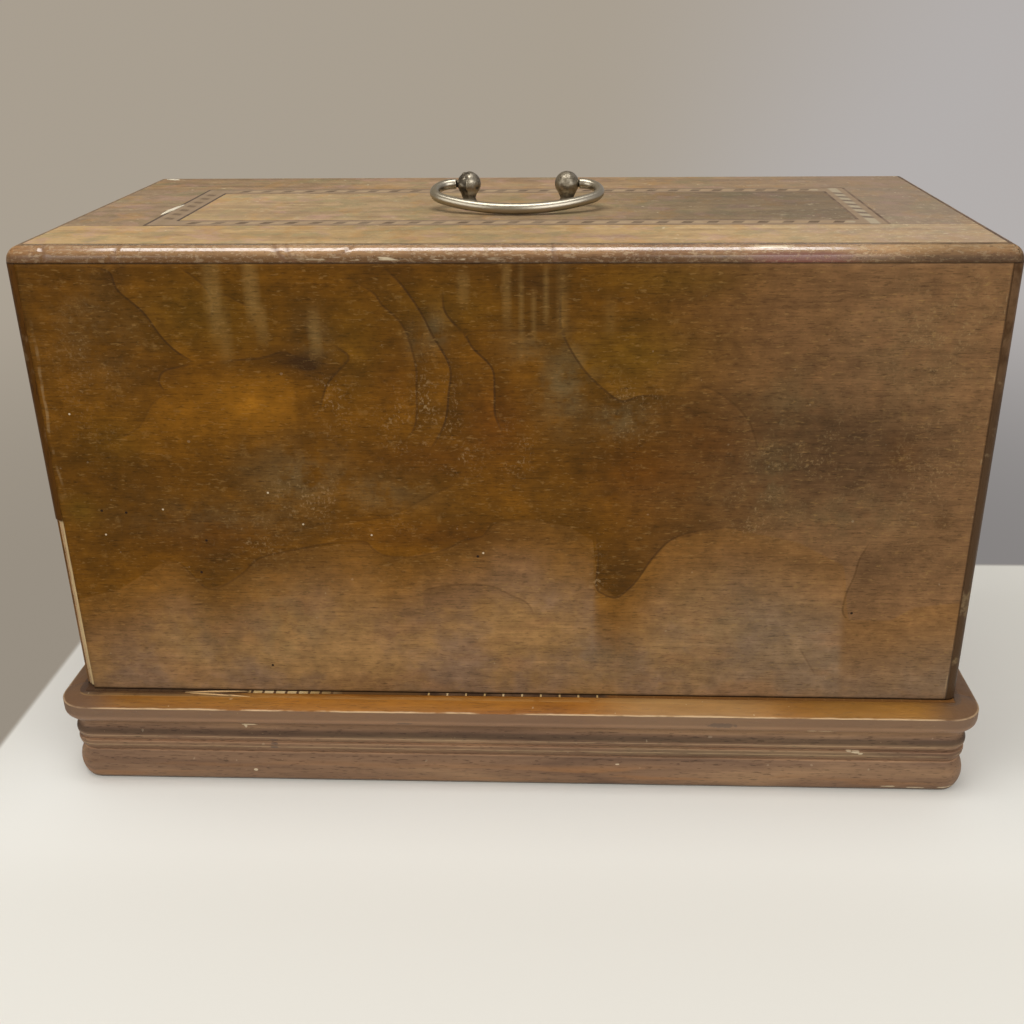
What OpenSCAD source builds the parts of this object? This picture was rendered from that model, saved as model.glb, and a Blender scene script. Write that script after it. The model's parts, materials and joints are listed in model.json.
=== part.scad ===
// Carrying case for a portable hand-crank machine: a veneered wooden cover with a
// swinging bail handle, which lifts off a moulded base.
// X runs along the case, Y from its front to its back, Z up. The origin is the middle
// of the base's underside.

/* [Base] */
// Length of the base at its ledge
base_l = 515; // [480:1:560]
// Depth of the base at its ledge, front to back
base_d = 262; // [244:1:300]
// Height of the bottom moulding, the plinth
plinth_h = 19.5; // [16:0.5:26]
// Height of the middle moulding, with its cove, bead and ovolo
bead_h = 21.5; // [19:0.5:28]
// Thickness of the ledge frame
ledge_t = 13; // [11:0.5:18]
// Plan radius of the base's corners at the ledge
base_corner_r = 18; // [14:1:22]
// Width of the lower rails, from the ledge's outer edge inwards
lower_rail_w = 30; // [26:1:36]
// Distance from the ledge's edge to the joint between its front and side rails
ledge_seam_in = 23; // [23:1:32]
// Length of the cut-out for the machine bed
opening_l = 370; // [330:1:400]
// Depth of the cut-out for the machine bed
opening_d = 178; // [160:1:186]
// Thickness of the bottom board
bottom_t = 4; // [3:0.5:6]
// Width of the rebate that the bottom board sits in
bottom_rebate = 6; // [4:0.5:8]
// How far the bottom board is held off the table
bottom_gap = 1; // [0.5:0.5:2]
// How far the bed rest blocks reach into the cut-out's corners
rest_reach = 14; // [8:1:20]

/* [Base mouldings] */
// Width of the ledge's sloping edge
bevel_w = 10; // [6:0.5:12]
// Fall of the ledge's sloping edge
bevel_drop = 2.8; // [1:0.1:4]
// Radius under the ledge's nose
nose_r = 4.5; // [3:0.5:6]
// Radius of the cove under the ledge
cove_r = 5.5; // [4:0.5:6]
// Depth of the cove's neck behind the ledge's edge
neck_in = 6.5; // [6.1:0.1:8]
// Height of the flat bead below the cove
bead_w = 9; // [7:0.5:10]
// How far that bead stands out
bead_proud = 2; // [1:0.1:2.5]
// Radius of the ovolo below the bead
ovolo_r = 7; // [6:0.5:9]
// Setback of the ovolo behind the ledge's edge
ovolo_in = 4.8; // [4:0.1:5.8]
// How far the ovolo's middle lies below its top edge
ovolo_drop = 1.7; // [1:0.1:2.5]
// Setback of the plinth's top and bottom edges
plinth_in = 7; // [5.5:0.1:8]
// How far the plinth's torus stands out from those edges
plinth_proud = 3; // [2:0.1:4]

/* [Cover] */
// Width of the ledge that shows beyond each end of the cover
end_reveal = 12.5; // [11:0.5:14]
// Width of the ledge that shows in front of the cover and behind it
front_reveal = 16; // [14:0.5:18]
// Height of the cover from its foot to its top
cover_h = 250; // [180:1:320]
// Thickness of the wall boards under their veneer
wall_t = 10; // [9:0.5:13]
// Thickness of every veneer
veneer_t = 1; // [0.8:0.1:1.4]
// Side of the corner strips, and the radius they are rounded to
corner_r = 6; // [4:0.5:8]
// Radius and width of the quarter-round moulding along the top edges
edge_r = 8; // [6:0.5:9]
// Leg of the three-cornered glue blocks inside the cover
glue_leg = 14; // [10:1:18]
// Height of the glue blocks' lower ends above the cover's foot
glue_rise = 12; // [6:1:30]

/* [Top inlay] */
// Length of the inlaid band over its outer lines
band_l = 388; // [340:1:420]
// Depth of the inlaid band over its outer lines
band_d = 120; // [100:1:150]
// Width of the inlaid band with both lines
band_w = 15; // [12:0.5:18]
// Width of the dark lines on both sides of the band
string_w = 1.5; // [1:0.1:2]
// Distance from one slip to the next
slip_pitch = 13; // [11:0.5:16]
// Width of a slip, along the band
slip_w = 5.5; // [4:0.5:7]
// Slant of a slip, from the band's outer side to its inner side
slip_slant = 5; // [2:0.5:6]

/* [Ledge inlay] */
// Distance from the ledge's edge to its inlaid strip
strip_in = 14; // [13:0.5:15]
// Width of the inlaid strip
strip_w = 5; // [3:0.5:6]
// Pitch of the close-set blocks in the left stretch of the strip
block_pitch = 6.5; // [5:0.5:9]
// Gap between two of those blocks
block_gap = 1.5; // [1:0.1:2]
// Pitch of the thin ticks in the right stretch of the strip
tick_pitch = 10.5; // [8:0.5:14]
// Width of a thin tick
tick_w = 1; // [0.8:0.1:2]
// Where the blocks give way to the ticks
block_end_x = -80; // [-150:1:0]

/* [Handle] */
// Distance between the two handle posts
post_gap = 55; // [50:1:66]
// Diameter of the ball on each post
ball_dia = 13.5; // [12:0.5:16]
// Height of the ball's centre, the bail's axis, above the top
axis_h = 12; // [11:0.5:15]
// Diameter of the post's neck, at its waist
neck_dia = 9.5; // [8:0.5:10.5]
// How far inside the ball the widening neck stays, level with the ball's middle
neck_sunk = 0.15; // [0.1:0.05:1]
// Diameter of the post's foot
foot_dia = 16; // [14:0.5:18]
// Thickness of the post's foot at its rim
foot_t = 1.2; // [1:0.1:2]
// Diameter of the threaded shank through the top board
shank_dia = 5; // [4:0.5:6]
// Diameter of the bail's rod at its ends
rod_end_dia = 5.6; // [4.6:0.1:6]
// Diameter of the bail's rod in the middle of its front
rod_mid_dia = 6; // [5:0.1:7]
// Diameter of the bail's turned-down ends in the balls
pivot_dia = 4; // [3:0.1:4.4]
// How deep the bail's ends reach into the balls, from the balls' middle outwards
pivot_depth = 1; // [0:0.5:2]
// Half width of the bail, to the middle of its rod
bail_half_w = 45.5; // [43:0.5:55]
// Reach of the bail, from its axis to the middle of its front rod
bail_reach = 32; // [27:0.5:40]
// Radius of the bail's round ends
bail_end_r = 10.5; // [9:0.5:10.5]
// Thickness of the washers under the top board
washer_t = 1; // [0.8:0.1:1.5]
// Diameter of those washers
washer_dia = 16; // [13:0.5:20]
// Thickness of the nuts
nut_t = 4; // [3:0.5:5]
// Width of the nuts over their corners
nut_dia = 10; // [8.5:0.5:12]

/* [Locks] */
// Depth of the lock case, from the end board inwards
lock_depth = 12; // [11:0.5:14]
// Width of the lock case, along the end board
lock_w = 44; // [42:1:52]
// Height of the lock case
lock_h = 34; // [30:1:40]
// Thickness of the lock case's metal
lock_metal = 1.2; // [1:0.1:1.5]
// Width of the screw flange on each side of the case
flange_w = 8; // [7:0.5:10]
// Thickness of the bolt's tongue
bolt_t = 3; // [2.5:0.1:3.4]
// Height of the bolt
bolt_h = 6; // [5:0.5:7]
// Height of the bolt's underside above the cover's foot
bolt_rise = 5; // [4.5:0.5:6]
// Length of the bolt
bolt_l = 26; // [24:1:28]
// Length of the bolt's broad tail
tail_l = 9; // [7:0.5:10]
// Travel of the bolt when the key is turned
bolt_travel = 9; // [8:0.5:10]
// Width of the notch that the key's bit moves the bolt by
notch_w = 5; // [4:0.5:6]
// Depth of that notch
notch_depth = 2.5; // [2:0.1:3]
// Distance of the lock's screws from the top and bottom of its case
lock_screw_edge = 6; // [5:0.5:9]
// Height of the keyhole above the cover's foot
key_rise = 21; // [19:0.5:24]
// Radius of the keyhole's round part
key_r = 3; // [2.5:0.1:3.5]
// Width of the keyhole's slot
key_slot_w = 2.4; // [2:0.1:3]
// Length of the keyhole's slot, from the middle of its round part
key_slot_l = 9; // [7:0.5:10]
// Radius of the pin that the hollow key turns on
key_pin_r = 1.2; // [1:0.1:1.5]
// Wall of the brass keyhole liner
liner_wall = 1; // [0.8:0.1:1.2]
// Depth of the keyhole liner
liner_depth = 4; // [3:0.5:6]

/* [Staples] */
// Thickness of the staple's legs and crown
staple_metal = 1.8; // [1.4:0.1:2]
// Width of the staple's loop, along the bolt
staple_w = 5; // [4:0.5:6]
// Gap between the staple's legs
staple_gap = 4.4; // [4:0.1:5]
// Thickness of the staple's foot plate
staple_plate_t = 1.5; // [1.2:0.1:2]
// Width of the staple's foot plate
staple_plate_w = 17; // [15:0.5:17]
// Length of the staple's foot plate
staple_plate_l = 40; // [34:1:46]

/* [Machine hinges] */
// Distance of each hinge from the middle of the case
hinge_x = 110; // [90:1:130]
// Width of the hinge plate
hinge_plate_w = 34; // [32:1:40]
// Wood left between the hinge plate and the ledge's inlaid strip
hinge_strip_gap = 3; // [2:0.5:6]
// Thickness of the hinge plate
hinge_plate_t = 2.5; // [2:0.1:3]
// Radius of the hinge's knuckles
knuckle_r = 5; // [4.8:0.1:5.5]
// Width of each fixed knuckle
knuckle_w = 6; // [5:0.5:7]
// Width of the eye between the knuckles
eye_w = 11.6; // [10:0.1:13]
// Radius of the hinge's axle
axle_r = 2; // [1.5:0.1:2.5]
// Radius of the round pin that the machine bed is held by
bed_pin_r = 4.75; // [4:0.05:4.75]
// Length of that pin, from the hinge's axis to its end
bed_pin_l = 30; // [24:1:36]
// Distance of the pin's flat shoulder from the hinge's axis
pin_shoulder = 6; // [5.5:0.1:8]
// How far the stop heel reaches below the hinge's axis
heel_drop = 9; // [7:0.5:10]

/* [Screws] */
// Radius of a screw's shank
screw_r = 1.5; // [1.2:0.1:1.7]
// Radius of a screw's head
screw_head_r = 2.9; // [2.5:0.1:3.2]
// Distance from a plate's end to its screws
screw_edge = 5; // [4.5:0.5:7]
// Length of a screw's shank in the wood
screw_l = 8; // [6:0.5:8]
// Height of a round screw head
screw_head_h = 1.2; // [1:0.1:1.6]

/* [Clearances] */
// Radial clearance of a pin that turns in its bore
run_clear = 0.05; // [0.02:0.01:0.09]
// Clearance round screws and shanks, and beside sliding metal
fit_clear = 0.1; // [0.05:0.01:0.15]
// Gap between a moving piece and the face that it rests on
rest_clear = 0.3; // [0.2:0.05:0.3]
// Room round the staple in the lock's slot, and above the bolt in the staple
staple_clear = 1; // [0.6:0.1:1.4]
// Gap between the staple and the tip of the bolt when it is drawn back
tip_clear = 0.5; // [0.4:0.1:1]

/* [Hidden] */
$fn = 64;

// Small overshoot of a cutting solid past the face that it cuts
over = 1;

// Levels of the base
bead_z = plinth_h;
ledge_z = bead_z + bead_h;
base_h = ledge_z + ledge_t;
cove_z = ledge_z - cove_r;
flat_bead_z = cove_z - bead_w;
bottom_top_z = bottom_gap + bottom_t;

// Plan of the base
base_x = base_l / 2;
base_y = base_d / 2;
corner_x = base_x - base_corner_r;
corner_y = base_y - base_corner_r;
open_x = opening_l / 2;
open_y = opening_d / 2;
lower_x = base_x - lower_rail_w;
lower_y = base_y - lower_rail_w;
seam_y = base_y - ledge_seam_in;

// Plan and levels of the cover
cover_x = base_x - end_reveal;
cover_y = base_y - front_reveal;
board_x = cover_x - veneer_t;
board_y = cover_y - veneer_t;
inner_x = board_x - wall_t;
inner_y = board_y - wall_t;
strip_x = cover_x - corner_r;
strip_y = cover_y - corner_r;
top_x = cover_x - edge_r;
top_y = cover_y - edge_r;
foot_z = base_h;
top_z = foot_z + cover_h;
wall_top_z = top_z - edge_r;
skin_z = top_z - veneer_t;

// Plan of the top inlay
band_x = band_l / 2;
band_y = band_d / 2;
slot_w = band_w - 2 * string_w;

// Handle
axis_z = top_z + axis_h;
post_x = post_gap / 2;
ball_r = ball_dia / 2;
rod_end_r = rod_end_dia / 2;
rod_mid_r = rod_mid_dia / 2;
pivot_r = pivot_dia / 2;
shank_r = shank_dia / 2;
rod_start_x = post_x + ball_r + rest_clear;
bail_tilt = asin((axis_h - rod_mid_r - rest_clear) / bail_reach);
// The bail's front arc meets its end arcs where their tangents agree
front_half = bail_half_w - bail_end_r;
end_turn = 90 - 2 * atan((bail_reach - 2 * bail_end_r) / front_half);
front_r = bail_end_r + front_half / cos(end_turn);
front_centre = bail_end_r - front_half * tan(end_turn);
// Sides of the rod's section, and steps along its end arcs and along half of its front arc
rod_sides = 20;
end_steps = 14;
front_steps = 8;

// Locks
lock_in_x = inner_x - lock_depth;
lock_cavity_x = lock_in_x + lock_metal;
lock_mid_x = (lock_cavity_x + inner_x) / 2;
lock_y = lock_w / 2;
bolt_z = foot_z + bolt_rise;
key_z = foot_z + key_rise;
staple_y = -(bolt_travel / 2 + lock_y - lock_metal) / 2 + fit_clear;
bolt_tip_y = staple_y + staple_w / 2 + tip_clear;
staple_half = staple_gap / 2 + staple_metal;
staple_window_z = bolt_z + bolt_h + staple_clear;
lock_screw_y = lock_y + flange_w / 2;

// Machine hinges
hinge_y = open_y - knuckle_r - rest_clear;
hinge_z = base_h - knuckle_r;
hinge_screw_x = hinge_plate_w / 2 - screw_edge;
hinge_plate_y = base_y - strip_in - strip_w - hinge_strip_gap;
hinge_screw_y = (open_y + hinge_plate_y) / 2;

// ---- Helpers ----

// A box between two corners
module block(low, high) {
    translate(low) cube(high - low);
}

module at_left() { mirror([1, 0, 0]) children(); }
module at_back() { mirror([0, 1, 0]) children(); }

// A two-dimensional outline in Y and Z, drawn out along X from x0 to x1
module along_x(x0, x1) {
    translate([x0, 0, 0]) rotate([90, 0, 90]) linear_extrude(x1 - x0) children();
}

// An outline in plan, drawn up from z0 to z1
module upright(z0, z1) {
    translate([0, 0, z0]) linear_extrude(z1 - z0) children();
}

// A round bar along X
module x_bar(r, x0, x1, y, z) {
    translate([x0, y, z]) rotate([0, 90, 0]) cylinder(r = r, h = x1 - x0);
}

// A four-sided ring in plan, between two half sizes
module plan_ring(outer, inner) {
    difference() {
        translate(-outer) square(2 * outer);
        translate(-inner) square(2 * inner);
    }
}

// ---- Base mouldings: outlines in setback (negative inwards) and height ----

// A band of the corner's width from height z0 to z1, back to the setback u
module moulding_core(u, z0, z1) {
    translate([-base_corner_r, z0]) square([base_corner_r - u, z1 - z0]);
}

// A flat round that stands out by proud from setback u between z0 and z1
module moulding_round(u, proud, z0, z1) {
    half = (z1 - z0) / 2;
    r = (half * half + proud * proud) / (2 * proud);
    intersection() {
        translate([-base_corner_r, z0]) square([base_corner_r, z1 - z0]);
        translate([proud - u - r, z0 + half]) circle(r);
    }
}

module ledge_outline() {
    polygon([
        [-base_corner_r, ledge_z], [-nose_r, ledge_z], [-nose_r, ledge_z + nose_r],
        [0, ledge_z + nose_r], [0, base_h - bevel_drop], [-bevel_w, base_h],
        [-base_corner_r, base_h]
    ]);
    intersection() {
        translate([-nose_r, ledge_z]) square(nose_r);
        translate([-nose_r, ledge_z + nose_r]) circle(nose_r);
    }
}

module bead_outline() {
    moulding_core(neck_in, flat_bead_z, ledge_z);
    moulding_core(ovolo_in + ovolo_r, bead_z, flat_bead_z);
    difference() {
        translate([-neck_in, cove_z]) square(cove_r);
        translate([cove_r - neck_in, cove_z]) circle(cove_r);
    }
    moulding_round(neck_in, bead_proud, flat_bead_z, cove_z);
    intersection() {
        translate([-base_corner_r, bead_z]) square([base_corner_r, flat_bead_z - bead_z]);
        translate([-ovolo_in - ovolo_r, flat_bead_z - ovolo_drop]) circle(ovolo_r);
    }
}

module plinth_outline() {
    moulding_core(plinth_in, 0, bead_z);
    moulding_round(plinth_in, plinth_proud, 0, bead_z);
}

// A front rail with both rounded corners: the outline runs along the front, turns the
// corners and ends on the sides, level with the rail's inner face
module front_rail(rail_y, z0, z1) {
    translate([-corner_x, -base_y, 0]) rotate([90, 0, 90])
        linear_extrude(2 * corner_x) mirror([1, 0]) children();
    for (side = [0, 1]) mirror([side, 0, 0]) {
        translate([corner_x, -corner_y, 0]) rotate([0, 0, -90])
            rotate_extrude(angle = 90) translate([base_corner_r, 0]) children();
        translate([base_x, -rail_y, 0]) rotate([90, 0, 0])
            linear_extrude(corner_y - rail_y) children();
    }
    block([-corner_x, -corner_y, z0], [corner_x, -rail_y, z1]);
}

// A right-hand rail, butted between the front and back rails
module side_rail(rail_x, rail_y, z0, z1) {
    translate([base_x, rail_y, 0]) rotate([90, 0, 0]) linear_extrude(2 * rail_y) children();
    block([rail_x, -rail_y, z0], [corner_x, rail_y, z1]);
}

// ---- Screws ----

// A countersunk screw, its head's face up at the origin
module sunk_screw(grow = 0) {
    translate([0, 0, -screw_r]) cylinder(r1 = screw_r + grow, r2 = screw_head_r + grow, h = screw_r);
    translate([0, 0, -screw_l - grow]) cylinder(r = screw_r + grow, h = screw_l + grow);
}

// A round-headed screw along +X, with the face under its head at the origin
module round_screw() {
    x_bar(screw_r, 0, screw_l, 0, 0);
    x_bar(screw_head_r, -screw_head_h, 0, 0, 0);
}

// ---- Base ----

// The groove and recesses let into the ledge frame's top
module ledge_recesses() {
    upright(base_h - veneer_t, base_h + over) strip_plan();
    for (side = [0, 1]) mirror([side, 0, 0]) {
        staple_plate_place() staple_plate_block(over);
        staple_screw_places() sunk_screw(fit_clear);
        translate([hinge_x, 0, 0]) hinge_plate_block(over);
        hinge_screw_places() sunk_screw(fit_clear);
    }
}

module strip_plan() {
    outer = [base_x - strip_in, base_y - strip_in];
    plan_ring(outer, outer - [strip_w, strip_w]);
}

// The front rail of the ledge, notched at both ends to house the side rails
module notched_ledge_rail() {
    front_rail(seam_y, ledge_z, base_h) ledge_outline();
    block([-open_x, -seam_y, ledge_z], [open_x, -open_y, base_h]);
}

module front_ledge_rail() {
    color("saddlebrown") difference() {
        notched_ledge_rail();
        ledge_recesses();
    }
}

module back_ledge_rail() {
    color("saddlebrown") difference() {
        at_back() notched_ledge_rail();
        ledge_recesses();
    }
}

module right_ledge_rail() {
    color("saddlebrown") difference() {
        side_rail(open_x, seam_y, ledge_z, base_h) ledge_outline();
        ledge_recesses();
    }
}

module left_ledge_rail() { at_left() right_ledge_rail(); }

module front_bead_rail() {
    color("rosybrown") front_rail(lower_y, bead_z, ledge_z) bead_outline();
}

module back_bead_rail() { at_back() front_bead_rail(); }

module right_bead_rail() {
    color("rosybrown") side_rail(lower_x, lower_y, bead_z, ledge_z) bead_outline();
}

module left_bead_rail() { at_left() right_bead_rail(); }

// The rebate under the plinth rails that the bottom board lies in
module bottom_rebate_cut() {
    block([-lower_x - bottom_rebate, -lower_y - bottom_rebate, -over],
          [lower_x + bottom_rebate, lower_y + bottom_rebate, bottom_top_z]);
}

module front_plinth_rail() {
    color("sienna") difference() {
        front_rail(lower_y, 0, bead_z) plinth_outline();
        bottom_rebate_cut();
    }
}

module back_plinth_rail() { at_back() front_plinth_rail(); }

module right_plinth_rail() {
    color("sienna") difference() {
        side_rail(lower_x, lower_y, 0, bead_z) plinth_outline();
        bottom_rebate_cut();
    }
}

module left_plinth_rail() { at_left() right_plinth_rail(); }

module bottom_board() {
    reach = [lower_x + bottom_rebate, lower_y + bottom_rebate, 0];
    color("burlywood")
        block(-reach + [0, 0, bottom_gap], reach + [0, 0, bottom_top_z]);
}

// Blocks in the base's corners, under the ledge, that the machine bed rests on
module bed_rest_blocks() {
    color("tan") for (sx = [0, 1], sy = [0, 1]) mirror([sx, 0, 0]) mirror([0, sy, 0])
        block([open_x - rest_reach, open_y - rest_reach, bottom_top_z],
              [lower_x, lower_y, ledge_z]);
}

// The pale pieces of the ledge strip, in its front run: blocks on the left, ticks on the right
module strip_pieces_plan() {
    run_x = base_x - strip_in - strip_w;
    y0 = -base_y + strip_in;
    for (sy = [0, 1]) mirror([0, sy]) {
        for (x = [-run_x : block_pitch : block_end_x])
            translate([x, y0]) square([block_pitch - block_gap, strip_w]);
        for (x = [block_end_x + tick_pitch : tick_pitch : run_x - tick_w])
            translate([x, y0]) square([tick_w, strip_w]);
    }
}

module ledge_inlay_strip() {
    color("#3a2416") upright(base_h - veneer_t, base_h) difference() {
        strip_plan();
        strip_pieces_plan();
    }
}

module ledge_inlay_blocks() {
    color("wheat") upright(base_h - veneer_t, base_h) strip_pieces_plan();
}

// ---- Staples on the base, one under each lock ----

module staple_plate_place() { translate([lock_mid_x, staple_y, base_h]) children(); }

module staple_plate_block(rise = 0) {
    block([-staple_plate_w / 2, -staple_plate_l / 2, -staple_plate_t],
          [staple_plate_w / 2, staple_plate_l / 2, rise]);
}

module staple_screw_places() {
    screw_y = staple_plate_l / 2 - screw_edge;
    for (s = [-1, 1]) staple_plate_place() translate([0, s * screw_y, 0]) children();
}

module right_staple() {
    window = staple_window_z - base_h;
    color("dimgray") difference() {
        staple_plate_place() {
            staple_plate_block();
            difference() {
                block([-staple_half, -staple_w / 2, 0], [staple_half, staple_w / 2, window + staple_metal]);
                block([-staple_gap / 2, -staple_w, -over], [staple_gap / 2, staple_w, window]);
            }
        }
        staple_screw_places() sunk_screw(fit_clear);
    }
}

module left_staple() { at_left() right_staple(); }

module staple_screws() {
    color("gray") for (side = [0, 1]) mirror([side, 0, 0]) staple_screw_places() sunk_screw();
}

// ---- Hinges for the machine bed, let into the back rail ----

module hinge_plate_block(rise = 0) {
    block([-hinge_plate_w / 2, open_y, base_h - hinge_plate_t],
          [hinge_plate_w / 2, hinge_plate_y, base_h + rise]);
}

module hinge_screw_places() {
    for (s = [-1, 1]) translate([hinge_x + s * hinge_screw_x, hinge_screw_y, base_h]) children();
}

module machine_hinge_plates() {
    ear_x = eye_w / 2 + fit_clear;
    color("dimgray") for (side = [0, 1]) mirror([side, 0, 0]) difference() {
        translate([hinge_x, 0, 0]) {
            hinge_plate_block();
            for (s = [0, 1]) mirror([s, 0, 0]) difference() {
                union() {
                    x_bar(knuckle_r, ear_x, ear_x + knuckle_w, hinge_y, hinge_z);
                    block([ear_x, hinge_y, hinge_z], [ear_x + knuckle_w, open_y, base_h]);
                }
                x_bar(axle_r + run_clear, 0, ear_x + knuckle_w + over, hinge_y, hinge_z);
            }
        }
        hinge_screw_places() sunk_screw(fit_clear);
    }
}

module machine_hinge_axles() {
    half = eye_w / 2 + fit_clear + knuckle_w;
    color("gray") for (s = [-1, 1])
        x_bar(axle_r, s * hinge_x - half, s * hinge_x + half, hinge_y, hinge_z);
}

module machine_hinge_screws() {
    color("gray") for (side = [0, 1]) mirror([side, 0, 0]) hinge_screw_places() sunk_screw();
}

// The swinging pin that a socket in the machine bed slides onto, with the shoulder that
// the bed comes up to and the heel that stops the pin level against the back rail
module right_machine_pin() {
    color("silver") translate([hinge_x, hinge_y, hinge_z]) difference() {
        union() {
            x_bar(knuckle_r, -eye_w / 2, eye_w / 2, 0, 0);
            block([-eye_w / 2, -pin_shoulder, -knuckle_r], [eye_w / 2, 0, knuckle_r]);
            rotate([90, 0, 0]) cylinder(r = bed_pin_r, h = bed_pin_l);
            block([-eye_w / 4, 0, -heel_drop], [eye_w / 4, open_y - hinge_y - fit_clear, 0]);
        }
        x_bar(axle_r + run_clear, -eye_w, eye_w, 0, 0);
    }
}

module left_machine_pin() { at_left() right_machine_pin(); }

// ---- Cover walls ----

module cover_front_board() {
    color("peru") block([-strip_x, -board_y, foot_z], [strip_x, -inner_y, wall_top_z]);
}

module cover_back_board() { at_back() cover_front_board(); }

// The keyhole's outline at its place on the end, in Y and Z: wider by grow
module keyhole_cut(x0, x1, grow) {
    x_bar(key_r + grow, x0, x1, 0, key_z);
    block([x0, -key_slot_w / 2 - grow, key_z - key_slot_l - grow],
          [x1, key_slot_w / 2 + grow, key_z]);
}

module lock_screw_places() {
    for (s = [-1, 1], z = [foot_z + lock_screw_edge, foot_z + lock_h - lock_screw_edge])
        translate([inner_x - lock_metal, s * lock_screw_y, z]) children();
}

// End board, rebated at both ends over the front and back boards
module cover_right_board() {
    color("peru") difference() {
        block([inner_x, -strip_y, foot_z], [board_x, strip_y, wall_top_z]);
        for (sy = [0, 1]) mirror([0, sy, 0])
            block([inner_x - over, inner_y, foot_z - over], [strip_x, cover_y, top_z]);
        keyhole_cut(inner_x - over, cover_x, 0);
        keyhole_cut(cover_x - liner_depth, cover_x, liner_wall);
        lock_screw_places() x_bar(screw_r + fit_clear, 0, screw_l + fit_clear, 0, 0);
    }
}

module cover_left_board() { at_left() cover_right_board(); }

module cover_front_veneer() {
    color("sienna") block([-strip_x, -cover_y, foot_z], [strip_x, -board_y, wall_top_z]);
}

module cover_back_veneer() { at_back() cover_front_veneer(); }

module cover_right_veneer() {
    color("sienna") difference() {
        block([board_x, -strip_y, foot_z], [cover_x, strip_y, wall_top_z]);
        keyhole_cut(board_x - over, cover_x + over, liner_wall);
    }
}

module cover_left_veneer() { at_left() cover_right_veneer(); }

// A quarter-round strip up a corner of the cover
module front_right_corner_strip() {
    color("brown") intersection() {
        block([strip_x, -cover_y, foot_z], [cover_x, -strip_y, wall_top_z]);
        translate([strip_x, -strip_y, foot_z]) cylinder(r = corner_r, h = wall_top_z - foot_z);
    }
}

module front_left_corner_strip() { at_left() front_right_corner_strip(); }
module back_right_corner_strip() { at_back() front_right_corner_strip(); }
module back_left_corner_strip() { at_left() back_right_corner_strip(); }

module cover_glue_blocks() {
    color("tan") for (sx = [0, 1], sy = [0, 1]) mirror([sx, 0, 0]) mirror([0, sy, 0])
        upright(foot_z + glue_rise, wall_top_z)
            polygon([[inner_x, inner_y], [inner_x - glue_leg, inner_y], [inner_x, inner_y - glue_leg]]);
}

// ---- Cover top ----

module shank_holes(z0, z1) {
    for (s = [-1, 1]) translate([s * post_x, 0, z0]) cylinder(r = shank_r + fit_clear, h = z1 - z0);
}

module cover_top_board() {
    color("peru") difference() {
        block([-top_x, -top_y, wall_top_z], [top_x, top_y, skin_z]);
        shank_holes(wall_top_z - over, top_z);
    }
}

// The outline that rounds the mouldings' mitred corners in plan, like the strips below
module rounded_top_plan() {
    for (size = [[strip_x, cover_y], [cover_x, strip_y]]) translate(-size) square(2 * size);
    for (sx = [-1, 1], sy = [-1, 1]) translate([sx * strip_x, sy * strip_y]) circle(corner_r);
}

// A quarter-round moulding along the front edge of the top, mitred at both ends
module front_top_moulding() {
    color("firebrick") intersection() {
        along_x(-cover_x, cover_x) intersection() {
            translate([-cover_y, wall_top_z]) square(edge_r);
            translate([-top_y, wall_top_z]) circle(edge_r);
        }
        upright(wall_top_z, top_z)
            polygon([[-cover_x, -cover_y], [cover_x, -cover_y], [top_x, -top_y], [-top_x, -top_y]]);
        upright(wall_top_z, top_z) rounded_top_plan();
    }
}

module back_top_moulding() { at_back() front_top_moulding(); }

module right_top_moulding() {
    color("firebrick") intersection() {
        translate([0, cover_y, 0]) rotate([90, 0, 0]) linear_extrude(2 * cover_y) intersection() {
            translate([top_x, wall_top_z]) square(edge_r);
            translate([top_x, wall_top_z]) circle(edge_r);
        }
        upright(wall_top_z, top_z)
            polygon([[cover_x, -cover_y], [cover_x, cover_y], [top_x, top_y], [top_x, -top_y]]);
        upright(wall_top_z, top_z) rounded_top_plan();
    }
}

module left_top_moulding() { at_left() right_top_moulding(); }

module top_field_veneer() {
    field = [band_x - band_w, band_y - band_w];
    color("tan") difference() {
        upright(skin_z, top_z) translate(-field) square(2 * field);
        shank_holes(skin_z - over, top_z + over);
    }
}

// Border veneers: the front and back strips run the full length, the ends butt between them
module front_border_veneer() {
    color("goldenrod") block([-top_x, -top_y, skin_z], [top_x, -band_y, top_z]);
}

module back_border_veneer() { at_back() front_border_veneer(); }

module right_border_veneer() {
    color("rosybrown") block([band_x, -band_y, skin_z], [top_x, band_y, top_z]);
}

module left_border_veneer() { at_left() right_border_veneer(); }

module inlay_lines() {
    outer = [band_x, band_y];
    line = [string_w, string_w];
    width = [band_w, band_w];
    color("#2e1d12") upright(skin_z, top_z) {
        plan_ring(outer, outer - line);
        plan_ring(outer - width + line, outer - width);
    }
}

// A run of slanted slips along X, centred, in a band at distance y from the middle
module slip_run(length, y) {
    count = floor((length - slip_slant - slip_w) / slip_pitch);
    for (i = [0 : count]) translate([(i - count / 2) * slip_pitch, y])
        polygon([
            [-(slip_w + slip_slant) / 2, -slot_w / 2], [(slip_w - slip_slant) / 2, -slot_w / 2],
            [(slip_w + slip_slant) / 2, slot_w / 2], [-(slip_w - slip_slant) / 2, slot_w / 2]
        ]);
}

module slip_plan() {
    for (turn = [0, 180]) rotate(turn) {
        slip_run(band_l - 2 * band_w, -band_y + band_w / 2);
        rotate(90) slip_run(band_d - 2 * band_w, -band_x + band_w / 2);
    }
}

module inlay_band() {
    outer = [band_x - string_w, band_y - string_w];
    color("#9a7a50") upright(skin_z, top_z) difference() {
        plan_ring(outer, outer - [slot_w, slot_w]);
        slip_plan();
    }
}

module inlay_slips() {
    color("#3a2416") upright(skin_z, top_z) slip_plan();
}

// ---- Handle ----

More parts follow.
